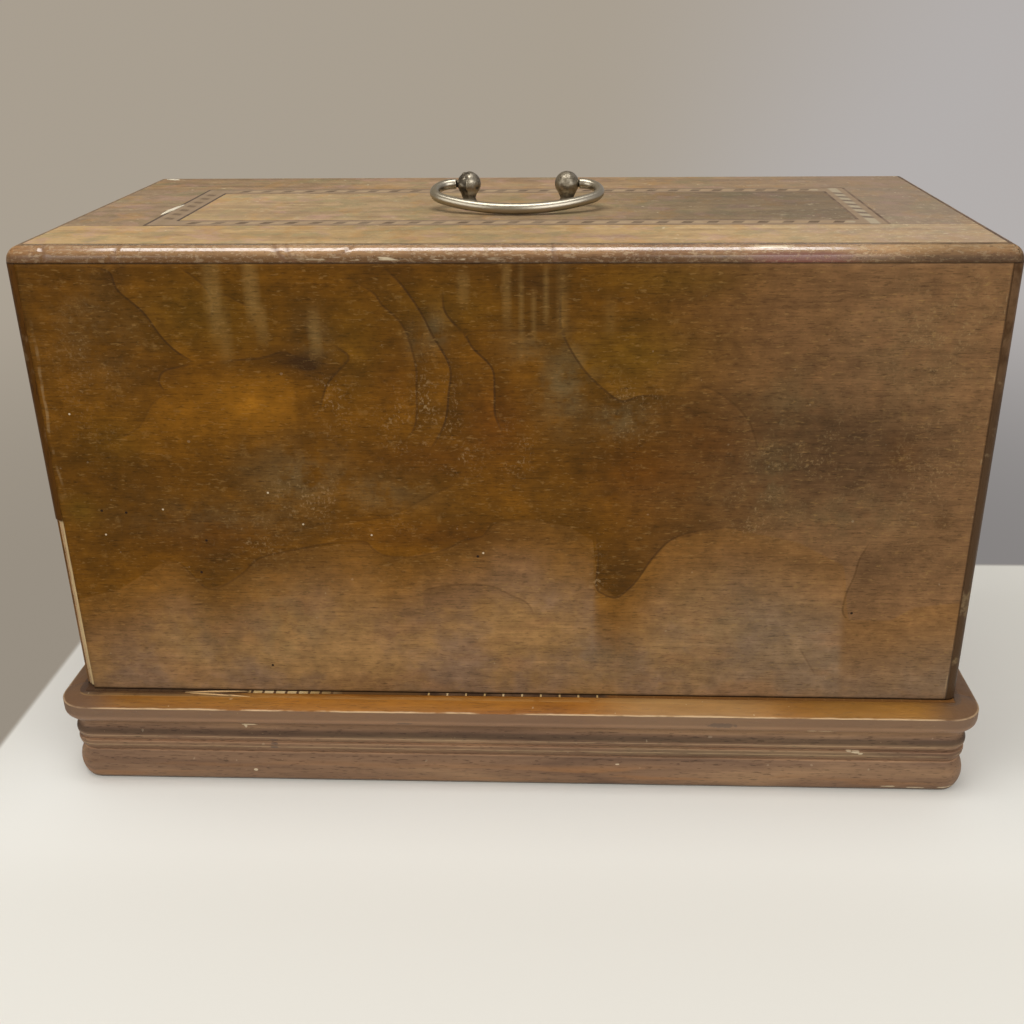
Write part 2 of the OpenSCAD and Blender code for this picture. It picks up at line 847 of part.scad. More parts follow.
// A turned post: foot, waist, widening neck and ball, with a threaded shank through the
// top board
module right_handle_post() {
    neck_r = neck_dia / 2;
    flare_r = foot_dia / 2 - neck_r;
    waist_z = foot_t + flare_r;
    shank_l = edge_r + washer_t + nut_t + shank_r;
    color("lightgray") difference() {
        union() {
            translate([post_x, 0, top_z]) {
                cylinder(d = foot_dia, h = foot_t);
                rotate_extrude() difference() {
                    translate([0, foot_t]) square([foot_dia / 2, flare_r]);
                    translate([foot_dia / 2, foot_t + flare_r]) circle(flare_r);
                }
                cylinder(r = neck_r, h = waist_z);
                translate([0, 0, waist_z])
                    cylinder(r1 = neck_r, r2 = ball_r - neck_sunk, h = axis_h - waist_z);
                translate([0, 0, -shank_l]) cylinder(r = shank_r, h = shank_l + foot_t);
            }
            translate([post_x, 0, axis_z]) sphere(ball_r);
        }
        x_bar(pivot_r + run_clear, post_x + pivot_depth - fit_clear, post_x + ball_dia, 0, axis_z);
    }
}

module left_handle_post() { at_left() right_handle_post(); }

module handle_nuts_and_washers() {
    color("gray") for (s = [-1, 1]) translate([s * post_x, 0, wall_top_z - washer_t]) difference() {
        union() {
            cylinder(d = washer_dia, h = washer_t);
            translate([0, 0, -nut_t]) cylinder(d = nut_dia, h = nut_t, $fn = 6);
        }
        translate([0, 0, -nut_t - over]) cylinder(r = shank_r + fit_clear, h = nut_t + washer_t + 2 * over);
    }
}

// Stations of the rod along an arc round a centre, each [x, y, heading, radius]. The arc is
// run clockwise, and the rod's radius goes from r0 to r1
function arc_stations(centre, arc_r, a0, a1, r0, r1, steps) = [
    for (i = [0 : steps]) let (share = i / steps, a = a0 + (a1 - a0) * share)
        [centre.x + arc_r * cos(a), centre.y + arc_r * sin(a), a - 90, r0 + (r1 - r0) * share]
];

// Half of the bail's rod in its own plane, from its end by the ball to the middle of its front
function half_bail() = concat(
    [[rod_start_x, 0, 0, rod_end_r]],
    arc_stations([front_half, -bail_end_r], bail_end_r, 90, -end_turn, rod_end_r, rod_end_r, end_steps),
    [for (i = [1 : front_steps])
        arc_stations([0, -front_centre], front_r, -end_turn, -90, rod_end_r, rod_mid_r, front_steps)[i]]
);

// The same stations, run back along the left half
function other_half(half) = [
    for (i = [1 : len(half) - 1]) let (s = half[len(half) - 1 - i]) [-s[0], s[1], -s[2], s[3]]
];

// A ring of points round a station, across its heading
function rod_ring(s) = [
    for (i = [0 : rod_sides - 1]) let (a = 360 * i / rod_sides)
        [s[0] - s[3] * cos(a) * sin(s[2]), s[1] + s[3] * cos(a) * cos(s[2]), s[3] * sin(a)]
];

// The rod, swept through its stations
module bail_rod() {
    half = half_bail();
    stations = concat(half, other_half(half));
    last = (len(stations) - 1) * rod_sides;
    polyhedron(
        points = [for (s = stations) each rod_ring(s)],
        faces = concat(
            [[for (i = [0 : rod_sides - 1]) i]],
            [for (k = [0 : rod_sides : last - 1], i = [0 : rod_sides - 1]) let (j = (i + 1) % rod_sides)
                [k + j, k + i, k + rod_sides + i, k + rod_sides + j]],
            [[for (i = [rod_sides - 1 : -1 : 0]) last + i]]
        )
    );
}

// The bail, lying forward on the top, with its turned-down ends in the balls
module bail_handle() {
    color("lightgray") translate([0, 0, axis_z]) rotate([bail_tilt, 0, 0]) {
        bail_rod();
        for (side = [0, 1]) mirror([side, 0, 0])
            x_bar(pivot_r, post_x + pivot_depth, front_half, 0, 0);
    }
}

// ---- Locks inside the cover's ends ----

module right_lock_case() {
    flange_z0 = foot_z + fit_clear;
    top = foot_z + lock_h;
    shelf_end = lock_y - lock_metal;
    slot = staple_half + staple_clear;
    color("dimgray") difference() {
        union() {
            difference() {
                block([lock_in_x, -lock_y, flange_z0], [inner_x, lock_y, top]);
                block([lock_cavity_x, -lock_y + lock_metal, flange_z0 + lock_metal],
                      [inner_x + over, lock_y - lock_metal, top - lock_metal]);
            }
            block([inner_x - lock_metal, -lock_y - flange_w, flange_z0], [inner_x, -lock_y, top]);
            block([inner_x - lock_metal, lock_y, flange_z0], [inner_x, lock_y + flange_w, top]);
            // guides below and above the bolt, and the pin that the key turns on
            block([lock_cavity_x, bolt_tip_y, flange_z0 + lock_metal],
                  [inner_x, shelf_end, bolt_z - fit_clear]);
            block([lock_cavity_x, shelf_end - tail_l / 2, bolt_z + bolt_h + fit_clear],
                  [inner_x, shelf_end, bolt_z + bolt_h + lock_metal]);
            x_bar(key_pin_r, lock_in_x + lock_metal / 2, inner_x, 0, key_z);
        }
        block([lock_mid_x - slot, staple_y - staple_w / 2 - staple_clear, foot_z - over],
              [lock_mid_x + slot, bolt_tip_y, bolt_z - fit_clear]);
        lock_screw_places() x_bar(screw_r + fit_clear, -over, screw_l, 0, 0);
    }
}

module left_lock_case() { at_left() right_lock_case(); }

// The bolt, drawn back: a thin tongue that passes through the staple and a broad tail
module right_lock_bolt() {
    notch_y = bolt_travel / 2;
    color("goldenrod") difference() {
        union() {
            block([lock_mid_x - bolt_t / 2, bolt_tip_y, bolt_z],
                  [lock_mid_x + bolt_t / 2, bolt_tip_y + bolt_l, bolt_z + bolt_h]);
            block([lock_cavity_x + fit_clear, bolt_tip_y + bolt_l - tail_l, bolt_z],
                  [inner_x - fit_clear, bolt_tip_y + bolt_l, bolt_z + bolt_h]);
        }
        block([lock_cavity_x, notch_y - notch_w / 2, bolt_z + bolt_h - notch_depth],
              [inner_x, notch_y + notch_w / 2, bolt_z + bolt_h + over]);
    }
}

module left_lock_bolt() { at_left() right_lock_bolt(); }

module lock_screws() {
    color("gray") for (side = [0, 1]) mirror([side, 0, 0]) lock_screw_places() round_screw();
}

module keyhole_liners() {
    color("goldenrod") for (side = [0, 1]) mirror([side, 0, 0]) difference() {
        keyhole_cut(cover_x - liner_depth, cover_x, liner_wall);
        keyhole_cut(cover_x - liner_depth - over, cover_x + over, 0);
    }
}

front_ledge_rail();
back_ledge_rail();
left_ledge_rail();
right_ledge_rail();
front_bead_rail();
back_bead_rail();
left_bead_rail();
right_bead_rail();
front_plinth_rail();
back_plinth_rail();
left_plinth_rail();
right_plinth_rail();
bottom_board();
bed_rest_blocks();
ledge_inlay_strip();
ledge_inlay_blocks();
left_staple();
right_staple();
staple_screws();
machine_hinge_plates();
machine_hinge_axles();
machine_hinge_screws();
left_machine_pin();
right_machine_pin();
cover_front_board();
cover_back_board();
cover_left_board();
cover_right_board();
cover_front_veneer();
cover_back_veneer();
cover_left_veneer();
cover_right_veneer();
front_left_corner_strip();
front_right_corner_strip();
back_left_corner_strip();
back_right_corner_strip();
cover_glue_blocks();
cover_top_board();
front_top_moulding();
back_top_moulding();
left_top_moulding();
right_top_moulding();
top_field_veneer();
front_border_veneer();
back_border_veneer();
left_border_veneer();
right_border_veneer();
inlay_lines();
inlay_band();
inlay_slips();
left_handle_post();
right_handle_post();
handle_nuts_and_washers();
bail_handle();
left_lock_case();
right_lock_case();
left_lock_bolt();
right_lock_bolt();
lock_screws();
keyhole_liners();
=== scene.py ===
"""Finish of a portable machine's carrying case: camera and light, the materials of every piece,
and the pieces whose worn surface needs a finer mesh than the frame's.

Sizes are in metres, in the frame's own axes: X along the case, Y from front to back, Z up."""
import json
import math

import bmesh
import bpy
import numpy as np
from mathutils import Matrix, Vector, noise


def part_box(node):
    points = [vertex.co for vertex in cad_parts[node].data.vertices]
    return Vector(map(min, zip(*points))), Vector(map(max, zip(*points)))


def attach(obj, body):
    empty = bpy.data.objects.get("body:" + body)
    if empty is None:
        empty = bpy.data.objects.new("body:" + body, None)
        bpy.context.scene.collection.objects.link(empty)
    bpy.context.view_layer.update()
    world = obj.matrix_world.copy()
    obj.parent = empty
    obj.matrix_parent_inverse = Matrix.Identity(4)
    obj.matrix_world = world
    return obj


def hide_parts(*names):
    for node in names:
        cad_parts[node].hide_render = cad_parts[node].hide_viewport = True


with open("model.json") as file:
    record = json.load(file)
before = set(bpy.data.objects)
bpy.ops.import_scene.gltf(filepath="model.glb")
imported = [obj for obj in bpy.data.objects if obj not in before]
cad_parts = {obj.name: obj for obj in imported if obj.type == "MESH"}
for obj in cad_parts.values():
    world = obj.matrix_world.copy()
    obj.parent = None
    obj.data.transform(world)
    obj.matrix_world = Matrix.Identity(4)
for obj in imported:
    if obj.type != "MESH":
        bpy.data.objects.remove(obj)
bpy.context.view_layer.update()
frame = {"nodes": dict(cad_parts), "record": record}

MM = 0.001
NODES = frame["nodes"]

# Places on the case that finishes and new pieces are set out from
FACE_LOW, FACE_HIGH = (Vector(corner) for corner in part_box("cover_front_veneer"))
TOP_LOW, TOP_HIGH = (Vector(corner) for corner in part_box("top_field_veneer"))
LEDGE_LOW, LEDGE_HIGH = (Vector(corner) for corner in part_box("front_ledge_rail"))
PLINTH_LOW, PLINTH_HIGH = (Vector(corner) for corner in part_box("front_plinth_rail"))
FOOT_Z = FACE_LOW.z
TOP_EDGE_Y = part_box("front_border_veneer")[0][1]
COVER_HIGH = Vector((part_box("right_top_moulding")[1][0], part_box("back_top_moulding")[1][1], 0))
TOP_Z = TOP_HIGH.z
BODY_OF = {node: body for body, nodes in frame["record"]["behaviour"]["bodies"].items() for node in nodes}


# ---- Shader helpers ----

class Shader:
    """Short calls that add nodes to one tree, so that a finish reads as a few formulas."""

    def __init__(self, tree):
        self.tree = tree

    def add(self, kind, inputs, **settings):
        node = self.tree.nodes.new(kind)
        for name, value in settings.items():
            setattr(node, name, value)
        for socket, value in inputs.items():
            self.feed(node.inputs[socket], value)
        return node

    def feed(self, socket, value):
        if isinstance(value, bpy.types.NodeSocket):
            self.tree.links.new(value, socket)
        elif socket.type == "RGBA" and len(value) == 3:
            socket.default_value = (*value, 1.0)
        else:
            socket.default_value = value

    def math(self, operation, a, b=0.0):
        return self.add("ShaderNodeMath", {0: a, 1: b}, operation=operation).outputs[0]

    def times(self, a, b):
        return self.math("MULTIPLY", a, b)

    def plus(self, a, b):
        return self.math("ADD", a, b)

    def most(self, *values):
        result = values[0]
        for value in values[1:]:
            result = self.math("MAXIMUM", result, value)
        return result

    def ramp(self, value, low, high):
        """0 at low, 1 at high, smooth between."""
        inputs = {"Value": value, "From Min": low, "From Max": high}
        return self.add("ShaderNodeMapRange", inputs, interpolation_type="SMOOTHSTEP").outputs[0]

    def spread(self, value, low, high):
        """0 to 1 drawn out to low to high."""
        return self.plus(self.times(value, high - low), low)

    def near(self, value, level, half):
        """1 where value is at level, 0 from half away."""
        gap = self.math("ABSOLUTE", self.math("SUBTRACT", value, level))
        return self.ramp(gap, half, half * 0.3)

    def ramp_mm(self, value, low, high):
        """A ramp whose ends are given in millimetres."""
        return self.ramp(value, low * MM, high * MM)

    def near_mm(self, value, level, half):
        """Near a level that is given in millimetres, as its half width is."""
        return self.near(value, level * MM, half * MM)

    def length(self, a, b):
        return self.math("SQRT", self.plus(self.times(a, a), self.times(b, b)))

    def mix(self, share, a, b):
        inputs = {0: share, 6: a, 7: b}
        return self.add("ShaderNodeMix", inputs, data_type="RGBA").outputs[2]

    def over(self, colour, mask, share, tone):
        """The tone laid over the colour where the mask is, at a share of its strength."""
        return self.mix(self.times(mask, share), colour, tone)

    def shade(self, colour, factor):
        """The colour made darker or lighter by a factor that may be a socket."""
        node = self.add("ShaderNodeVectorMath", {0: colour, "Scale": factor}, operation="SCALE")
        return node.outputs[0]

    def vary(self, colour, value, low, high):
        """The colour made low to high times as light, as the value goes from 0 to 1."""
        return self.shade(colour, self.spread(value, low, high))

    def stretch(self, vector, scale):
        return self.add("ShaderNodeVectorMath", {0: vector, 1: scale}, operation="MULTIPLY").outputs[0]

    def noise(self, vector, scale, detail=2.0, roughness=0.5, distortion=0.0):
        """Noise with its own number of waves per metre along each axis."""
        inputs = {"Vector": self.stretch(vector, scale), "Scale": 1.0, "Detail": detail,
                  "Roughness": roughness, "Distortion": distortion}
        return self.add("ShaderNodeTexNoise", inputs).outputs["Fac"]

    def patches(self, vector, scale, low, high, **waves):
        """Noise cut into soft patches: 0 at low, 1 at high."""
        return self.ramp(self.noise(vector, scale, **waves), low, high)

    def turned(self, vector, angles):
        return self.add("ShaderNodeMapping", {"Vector": vector, "Rotation": angles}).outputs[0]

    def axes(self, vector):
        return self.add("ShaderNodeSeparateXYZ", {0: vector}).outputs

    def here(self):
        return self.add("ShaderNodeTexCoord", {}).outputs["Object"]

    def painted(self, name):
        """An attribute of the piece's own mesh."""
        return self.add("ShaderNodeAttribute", {}, attribute_name=name).outputs["Fac"]

    def bump(self, height, depth):
        return self.add("ShaderNodeBump", {"Height": height, "Distance": depth}).outputs["Normal"]

    def use(self, group, **inputs):
        node = self.add("ShaderNodeGroup", {}, node_tree=group)
        for name, value in inputs.items():
            self.feed(node.inputs[name.replace("_", " ")], value)
        return node.outputs


def shader_group(name, inputs, outputs, build):
    """A node group. inputs and outputs give each socket's name and type, and build gets the
    Shader and the input sockets and returns the output values in order."""
    tree = bpy.data.node_groups.new(name, "ShaderNodeTree")
    for label, kind in inputs.items():
        tree.interface.new_socket(label, in_out="INPUT", socket_type=kind)
    for label, kind in outputs.items():
        tree.interface.new_socket(label, in_out="OUTPUT", socket_type=kind)
    given = tree.nodes.new("NodeGroupInput").outputs
    result = tree.nodes.new("NodeGroupOutput")
    for socket, value in zip(result.inputs, build(Shader(tree), given)):
        tree.links.new(value, socket)
    return tree


VECTOR, NUMBER = "NodeSocketVector", "NodeSocketFloat"


def build_fibre(s, given):
    """Wood along X: fine fibres, short open pores, and the broad bands of the growth rings."""
    vector = given["Vector"]
    fibres = s.noise(vector, (38, 760, 760), detail=4, roughness=0.7)
    pores = s.patches(vector, (190, 1700, 1700), 0.62, 0.70, detail=1)
    bands = s.noise(vector, (5, 55, 55), detail=4, roughness=0.6, distortion=0.8)
    return fibres, pores, bands


def build_age(s, given):
    """Years of use: clouds in the polish, mottling, soft dabs, rare pale specks, fine scratches."""
    vector = given["Vector"]
    clouds = s.noise(vector, (17, 17, 17), detail=5, roughness=0.62)
    mottle = s.noise(vector, (85, 85, 85), detail=4, roughness=0.65)
    dabs = s.patches(vector, (150, 150, 170), 0.58, 0.76, detail=3, roughness=0.7)
    specks = s.patches(vector, (330, 330, 330), 0.845, 0.875, detail=0)
    scratches = []
    for angles in ((0.2, 0.5, 0.9), (0.9, -0.7, 0.3)):
        lines = s.noise(s.turned(vector, angles), (18, 1300, 1300), detail=0)
        scratches.append(s.ramp(lines, 0.84, 0.90))
    return clouds, mottle, dabs, specks, s.most(*scratches)


def build_arris(s, given):
    """A worn line along an edge at one level, broken here and there."""
    ragged = s.spread(s.noise(given["Vector"], (120, 120, 120), detail=3), -0.5, 0.5)
    height = s.plus(given["Height"], s.times(ragged, given["Width"]))
    gap = s.math("ABSOLUTE", s.math("SUBTRACT", height, given["Level"]))
    line = s.ramp(s.math("DIVIDE", gap, given["Width"]), 1.0, 0.35)
    return (s.times(line, s.patches(given["Vector"], (40, 40, 40), 0.36, 0.5, detail=4)),)


FIBRE = shader_group("wood_fibre", {"Vector": VECTOR},
                     {"Fibres": NUMBER, "Pores": NUMBER, "Bands": NUMBER}, build_fibre)
AGE = shader_group("age", {"Vector": VECTOR},
                   {"Clouds": NUMBER, "Mottle": NUMBER, "Dabs": NUMBER, "Specks": NUMBER,
                    "Scratches": NUMBER}, build_age)
ARRIS = shader_group("worn_arris", {"Vector": VECTOR, "Height": NUMBER, "Level": NUMBER, "Width": NUMBER},
                     {"Line": NUMBER}, build_arris)


def new_material(name):
    """An empty material with its Principled shader, and the Shader that adds to it."""
    material = bpy.data.materials.new(name)
    material.use_nodes = True
    return material, Shader(material.node_tree), material.node_tree.nodes["Principled BSDF"]


def along(s, axis):
    """Object coordinates, turned so that the wood's grain lies along their X."""
    here = s.here()
    if axis == "X":
        return here
    return s.turned(here, (0, 0, math.pi / 2) if axis == "Y" else (0, math.pi / 2, 0))


def wood_colour(s, vector, dark, middle, pale, fibre_depth=0.35, pore_depth=0.45):
    """Three tones by the growth bands, with the fibres and pores over them. Returns the colour
    and the height that the grain gives."""
    fibre = s.use(FIBRE, Vector=vector)
    tone = s.mix(s.ramp(fibre["Bands"], 0.30, 0.52), dark, middle)
    tone = s.mix(s.ramp(fibre["Bands"], 0.50, 0.74), tone, pale)
    tone = s.vary(tone, fibre["Fibres"], 1 - fibre_depth, 1 + fibre_depth)
    tone = s.vary(tone, fibre["Pores"], 1, 1 - pore_depth)
    return tone, s.math("SUBTRACT", fibre["Fibres"], fibre["Pores"])


def finish_wood(s, shader, colour, roughness, height, depth=0.12 * MM, gloss=0.25, coat=0.0,
                coat_roughness=0.2):
    s.feed(shader.inputs["Base Color"], colour)
    s.feed(shader.inputs["Roughness"], roughness)
    s.feed(shader.inputs["Normal"], s.bump(height, depth))
    shader.inputs["Specular IOR Level"].default_value = gloss
    shader.inputs["Coat Weight"].default_value = coat
    shader.inputs["Coat Roughness"].default_value = coat_roughness


# ---- Woods ----

GOLDEN = (0.134, 0.052, 0.003)
DEEP = (0.094, 0.038, 0.003)
RED_BROWN = (0.122, 0.040, 0.003)
OLIVE = (0.120, 0.060, 0.004)
ORANGE = (0.262, 0.104, 0.006)
FADED = (0.184, 0.094, 0.038)
FOOT_TAN = (0.250, 0.136, 0.050)
FOOT_GREY = (0.190, 0.114, 0.066)
FOOT_WARM = (0.215, 0.098, 0.020)
STAIN = (0.042, 0.018, 0.004)
BLOOM = (0.138, 0.100, 0.043)
DRIED = (0.220, 0.128, 0.036)
PALE_WEAR = (0.50, 0.36, 0.19)
WARM_WEAR = (0.36, 0.21, 0.065)
RAW_WOOD = (0.56, 0.41, 0.21)
CREAM = (0.72, 0.60, 0.40)
# Near-black: grime in joints, seams and holes, and also painted shade along the cover's foot
GRIME_AND_SHADE = (0.018, 0.010, 0.006)

WORM_HOLES = [(-163, 148), (-168, 129), (-217, 165), (-204, 164), (-135, 71), (-18, 140), (182, 108)]
FLAKES = [(-217, 151), (-184, 166), (-225, 219), (-74, 152), (-110, 158), (-15, 142), (-127, 176)]


def foot_and_joint_lines(s, height, colour):
    """Dirt in the joint under the top moulding, and a painted shadow along the cover's foot where it stands
    on the ledge.
    """
    joint = s.times(s.near(height, FACE_HIGH.z, 0.7 * MM), 0.5)
    # Painted shadow: near-black within a millimetre of the cover's foot
    darkening = s.most(joint, s.times(s.ramp(height, FOOT_Z + 1.2 * MM, FOOT_Z + 0.4 * MM), 0.92))
    return s.mix(darkening, colour, GRIME_AND_SHADE)


def dots(s, here, places, radius):
    """Round dots on the front face, at places in millimetres."""
    result = 0.0
    for x, z in places:
        centre = (x * MM, FACE_LOW.y, z * MM)
        gap = s.add("ShaderNodeVectorMath", {0: here, 1: centre}, operation="DISTANCE").outputs["Value"]
        result = s.most(result, s.ramp(gap, radius, radius * 0.6))
    return result


def marks(s, here, places):
    """Ragged flat marks on the front, each (x, z, half width, half height) in millimetres."""
    x, _, z = s.axes(here)
    ragged = s.spread(s.noise(here, (420, 420, 420), detail=2), -0.6, 0.6)
    result = 0.0
    for cx, cz, half_w, half_h in places:
        across = s.times(s.plus(x, -cx * MM), 1 / (half_w * MM))
        up = s.times(s.plus(z, -cz * MM), 1 / (half_h * MM))
        reach = s.length(across, up)
        result = s.most(result, s.ramp(s.plus(reach, ragged), 1.1, 0.8))
    return s.times(result, s.ramp_mm(s.axes(here)["Y"], -60, -90))


def front_veneer_material():
    """Figured walnut: golden on the left, greyer on the right, paler at the foot. The lines of
    the figure, the warm and the clouded places are painted on the piece's mesh."""
    material, s, shader = new_material("figured_walnut_front")
    here = s.here()
    x, _, z = s.axes(here)
    age = s.use(AGE, Vector=here)
    fibre = s.use(FIBRE, Vector=here)
    below = s.painted("below")
    to_right = s.ramp_mm(s.plus(x, s.times(age["Clouds"], 90 * MM)), 90, 230)
    upper = s.mix(s.ramp(age["Clouds"], 0.36, 0.62), DEEP, GOLDEN)
    upper = s.mix(to_right, upper, FADED)
    lower = s.mix(s.ramp(age["Clouds"], 0.38, 0.62), FOOT_GREY, FOOT_TAN)
    lower = s.over(lower, to_right, 0.6, (0.185, 0.128, 0.082))
    colour = s.over(upper, s.ramp_mm(below, -0.6, 0.8), 0.36, FOOT_WARM)
    colour = s.over(colour, s.ramp_mm(below, 2, 62), 0.96, lower)
    rusty = s.times(s.ramp_mm(below, 0, 40), s.patches(here, (24, 60, 60), 0.50, 0.66, detail=4))
    colour = s.over(colour, rusty, 0.40, (0.240, 0.118, 0.048))
    colour = s.vary(colour, fibre["Bands"], 0.66, 1.36)
    colour = s.over(colour, s.painted("red"), 0.8, RED_BROWN)
    colour = s.over(colour, s.painted("olive"), 0.8, OLIVE)
    colour = s.over(colour, s.painted("warm"), 0.85, ORANGE)
    cloudy = s.times(s.painted("bloom"), s.ramp(age["Mottle"], 0.30, 0.60))
    colour = s.over(colour, cloudy, 0.66, BLOOM)
    blotches = s.noise(here, (120, 120, 150), detail=3, roughness=0.6)
    colour = s.vary(colour, blotches, 0.50, 1.50)
    figure = s.painted("figure")
    depth = s.painted("depth")
    line = s.times(s.near_mm(figure, 0, 0.8), s.times(depth, s.spread(age["Mottle"], 0.5, 1.2)))
    shadow = s.times(s.times(s.ramp_mm(figure, 0, 0.5), s.ramp_mm(figure, 20, 0)), depth)
    light = s.times(s.times(s.ramp_mm(figure, 0, -0.5), s.ramp_mm(figure, -14, 0)), depth)
    shadow = s.times(shadow, s.spread(blotches, 0.4, 1.6))
    light = s.times(light, s.spread(blotches, 0.2, 1.8))
    colour = s.vary(colour, shadow, 1.0, 0.76)
    colour = s.vary(colour, light, 1.0, 1.14)
    colour = s.vary(colour, s.painted("deep"), 1.0, 0.58)
    colour = s.over(colour, s.painted("stain"), s.spread(age["Mottle"], 0.35, 1.0), STAIN)
    colour = s.over(colour, line, 0.80, STAIN)
    colour = s.over(colour, s.painted("drips"), s.spread(blotches, 0.2, 1.0), DRIED)
    colour = s.vary(colour, fibre["Fibres"], 0.60, 1.40)
    colour = s.vary(colour, fibre["Pores"], 1, 0.72)
    dark_dashes = s.patches(here, (230, 820, 820), 0.54, 0.70, detail=3, roughness=0.65)
    colour = s.vary(colour, dark_dashes, 1.04, 0.74)
    pale_dashes = s.patches(here, (230, 850, 850), 0.60, 0.74, detail=2, roughness=0.6)
    colour = s.over(colour, pale_dashes, 0.26, WARM_WEAR)
    crazed = s.times(s.painted("crazed"), s.patches(here, (620, 620, 560), 0.53, 0.64, detail=4,
                                                    roughness=0.7))
    crazed = s.times(crazed, s.ramp(age["Mottle"], 0.42, 0.58))
    colour = s.over(colour, crazed, 0.62, (0.33, 0.215, 0.095))
    colour = s.over(colour, age["Dabs"], 0.16, WARM_WEAR)
    colour = s.over(colour, age["Specks"], 0.10, CREAM)
    colour = s.over(colour, age["Scratches"], 0.22, WARM_WEAR)
    glue = s.times(s.near(x, FACE_HIGH.x - 1.2 * MM, 0.6 * MM), s.ramp(age["Mottle"], 0.54, 0.62))
    seam = s.near(x, FACE_HIGH.x - 0.3 * MM, 0.6 * MM)
    wobble = s.times(s.noise(here, (22, 22, 22), detail=3), 9 * MM)
    scraped = s.times(s.near(s.plus(x, wobble), FACE_LOW.x + 8.0 * MM, 1.1 * MM),
                      s.near_mm(z, 222, 60))
    colour = s.over(colour, s.most(glue, s.times(scraped, s.ramp(age["Mottle"], 0.42, 0.60))), 0.22,
                    PALE_WEAR)
    colour = s.over(colour, seam, 0.6, GRIME_AND_SHADE)
    colour = s.mix(dots(s, here, WORM_HOLES, 0.9 * MM), colour, GRIME_AND_SHADE)
    colour = s.over(colour, dots(s, here, FLAKES, 0.65 * MM), 0.75, CREAM)
    colour = foot_and_joint_lines(s, z, colour)
    height = s.plus(s.times(age["Mottle"], 0.9), s.times(s.math("SUBTRACT", fibre["Fibres"], line), 0.7))
    finish_wood(s, shader, colour, s.spread(age["Clouds"], 0.36, 0.60), height, 0.16 * MM, gloss=0.09)
    return material


def wall_veneer_material(name, grain):
    """Plainer walnut veneer for the back and the ends, its figure drawn as contour lines."""
    material, s, shader = new_material(name)
    vector = along(s, grain)
    age = s.use(AGE, Vector=vector)
    swirl = s.noise(vector, (3.2, 9, 9), detail=2, roughness=0.4, distortion=1.2)
    ring = s.math("FRACT", s.times(swirl, 9.0))
    edge = s.ramp(ring, 0.08, 0.0)
    colour, grain_height = wood_colour(s, vector, DEEP, GOLDEN, (0.21, 0.098, 0.028))
    colour = s.vary(colour, ring, 0.80, 1.20)
    colour = s.over(colour, edge, 0.35, STAIN)
    colour = s.over(colour, s.ramp(age["Clouds"], 0.48, 0.70), 0.5, FADED)
    height = s.axes(s.here())["Z"]
    colour = s.over(colour, s.ramp(height, FOOT_Z + 80 * MM, FOOT_Z), 0.5, FOOT_GREY)
    colour = s.over(colour, age["Dabs"], 0.16, PALE_WEAR)
    colour = s.over(colour, age["Specks"], 0.3, CREAM)
    colour = s.over(colour, age["Scratches"], 0.25, PALE_WEAR)
    colour = foot_and_joint_lines(s, height, colour)
    finish_wood(s, shader, colour, s.spread(age["Clouds"], 0.34, 0.6), grain_height, gloss=0.2)
    return material


def top_veneer_material(name, dark, middle, pale, worn=0.5, across=(1.0, 1.0, 1.0)):
    """Sun-bleached veneer on the top: dull, streaked along its grain, with pale rubbed dashes.
    across gives how light it is at the left end, in the middle and at the right end."""
    material, s, shader = new_material(name)
    here = s.here()
    x = s.axes(here)["X"]
    age = s.use(AGE, Vector=here)
    colour, grain_height = wood_colour(s, here, dark, middle, pale, fibre_depth=0.14, pore_depth=0.22)
    drift = s.noise(here, (9, 30, 30), detail=3, roughness=0.6, distortion=1.5)
    colour = s.vary(colour, drift, 0.74, 1.26)
    left, middle_share, right = across
    lightness = s.plus(s.spread(s.ramp_mm(x, -200, 0), left, middle_share),
                       s.spread(s.ramp_mm(x, -10, 120), 0, right - middle_share))
    rubbed = s.patches(here, (45, 300, 300), 0.58, 0.72, detail=3)
    colour = s.over(colour, rubbed, worn, PALE_WEAR)
    colour = s.over(colour, s.ramp(age["Clouds"], 0.54, 0.70), 0.35, (0.235, 0.150, 0.092))
    colour = s.over(colour, s.ramp(age["Clouds"], 0.44, 0.30), 0.30, (0.30, 0.22, 0.085))
    for step, blotch in enumerate(((0.40, 0.235, 0.170), (0.40, 0.220, 0.070), (0.260, 0.215, 0.100))):
        moved = s.turned(here, (0, 0, 0.7 + step))
        patches = s.patches(moved, (42, 60, 60), 0.50, 0.64, detail=4, roughness=0.7)
        colour = s.over(colour, patches, 0.52, blotch)
    colour = s.vary(colour, age["Mottle"], 0.66, 1.34)
    colour = s.over(colour, s.ramp_mm(x, 40, 230), 0.45, (0.300, 0.226, 0.166))
    colour = s.shade(colour, lightness)
    flecks = s.times(s.patches(here, (260, 420, 420), 0.56, 0.66, detail=4, roughness=0.75),
                     s.ramp_mm(x, 60, 180))
    flecks = s.times(flecks, s.ramp_mm(s.axes(here)["Y"], 0, -70))
    colour = s.over(colour, s.most(flecks, s.times(age["Dabs"], 0.5)), 0.55, (0.60, 0.49, 0.31))
    colour = s.over(colour, age["Specks"], 0.5, CREAM)
    colour = s.over(colour, age["Scratches"], 0.3, CREAM)
    edge_dirt = s.ramp(s.axes(here)["Y"], TOP_EDGE_Y + 0.7 * MM, TOP_EDGE_Y + 0.2 * MM)
    colour = s.over(colour, edge_dirt, 0.3, (0.12, 0.07, 0.035))
    finish_wood(s, shader, colour, s.spread(age["Mottle"], 0.5, 0.8), grain_height, gloss=0.25)
    return material


# Middle of the inlaid band's two end runs and of its two long runs, from the middle of the top
BAND_MIDDLE_X = 186.5 * MM
BAND_MIDDLE_Y = 52.5 * MM


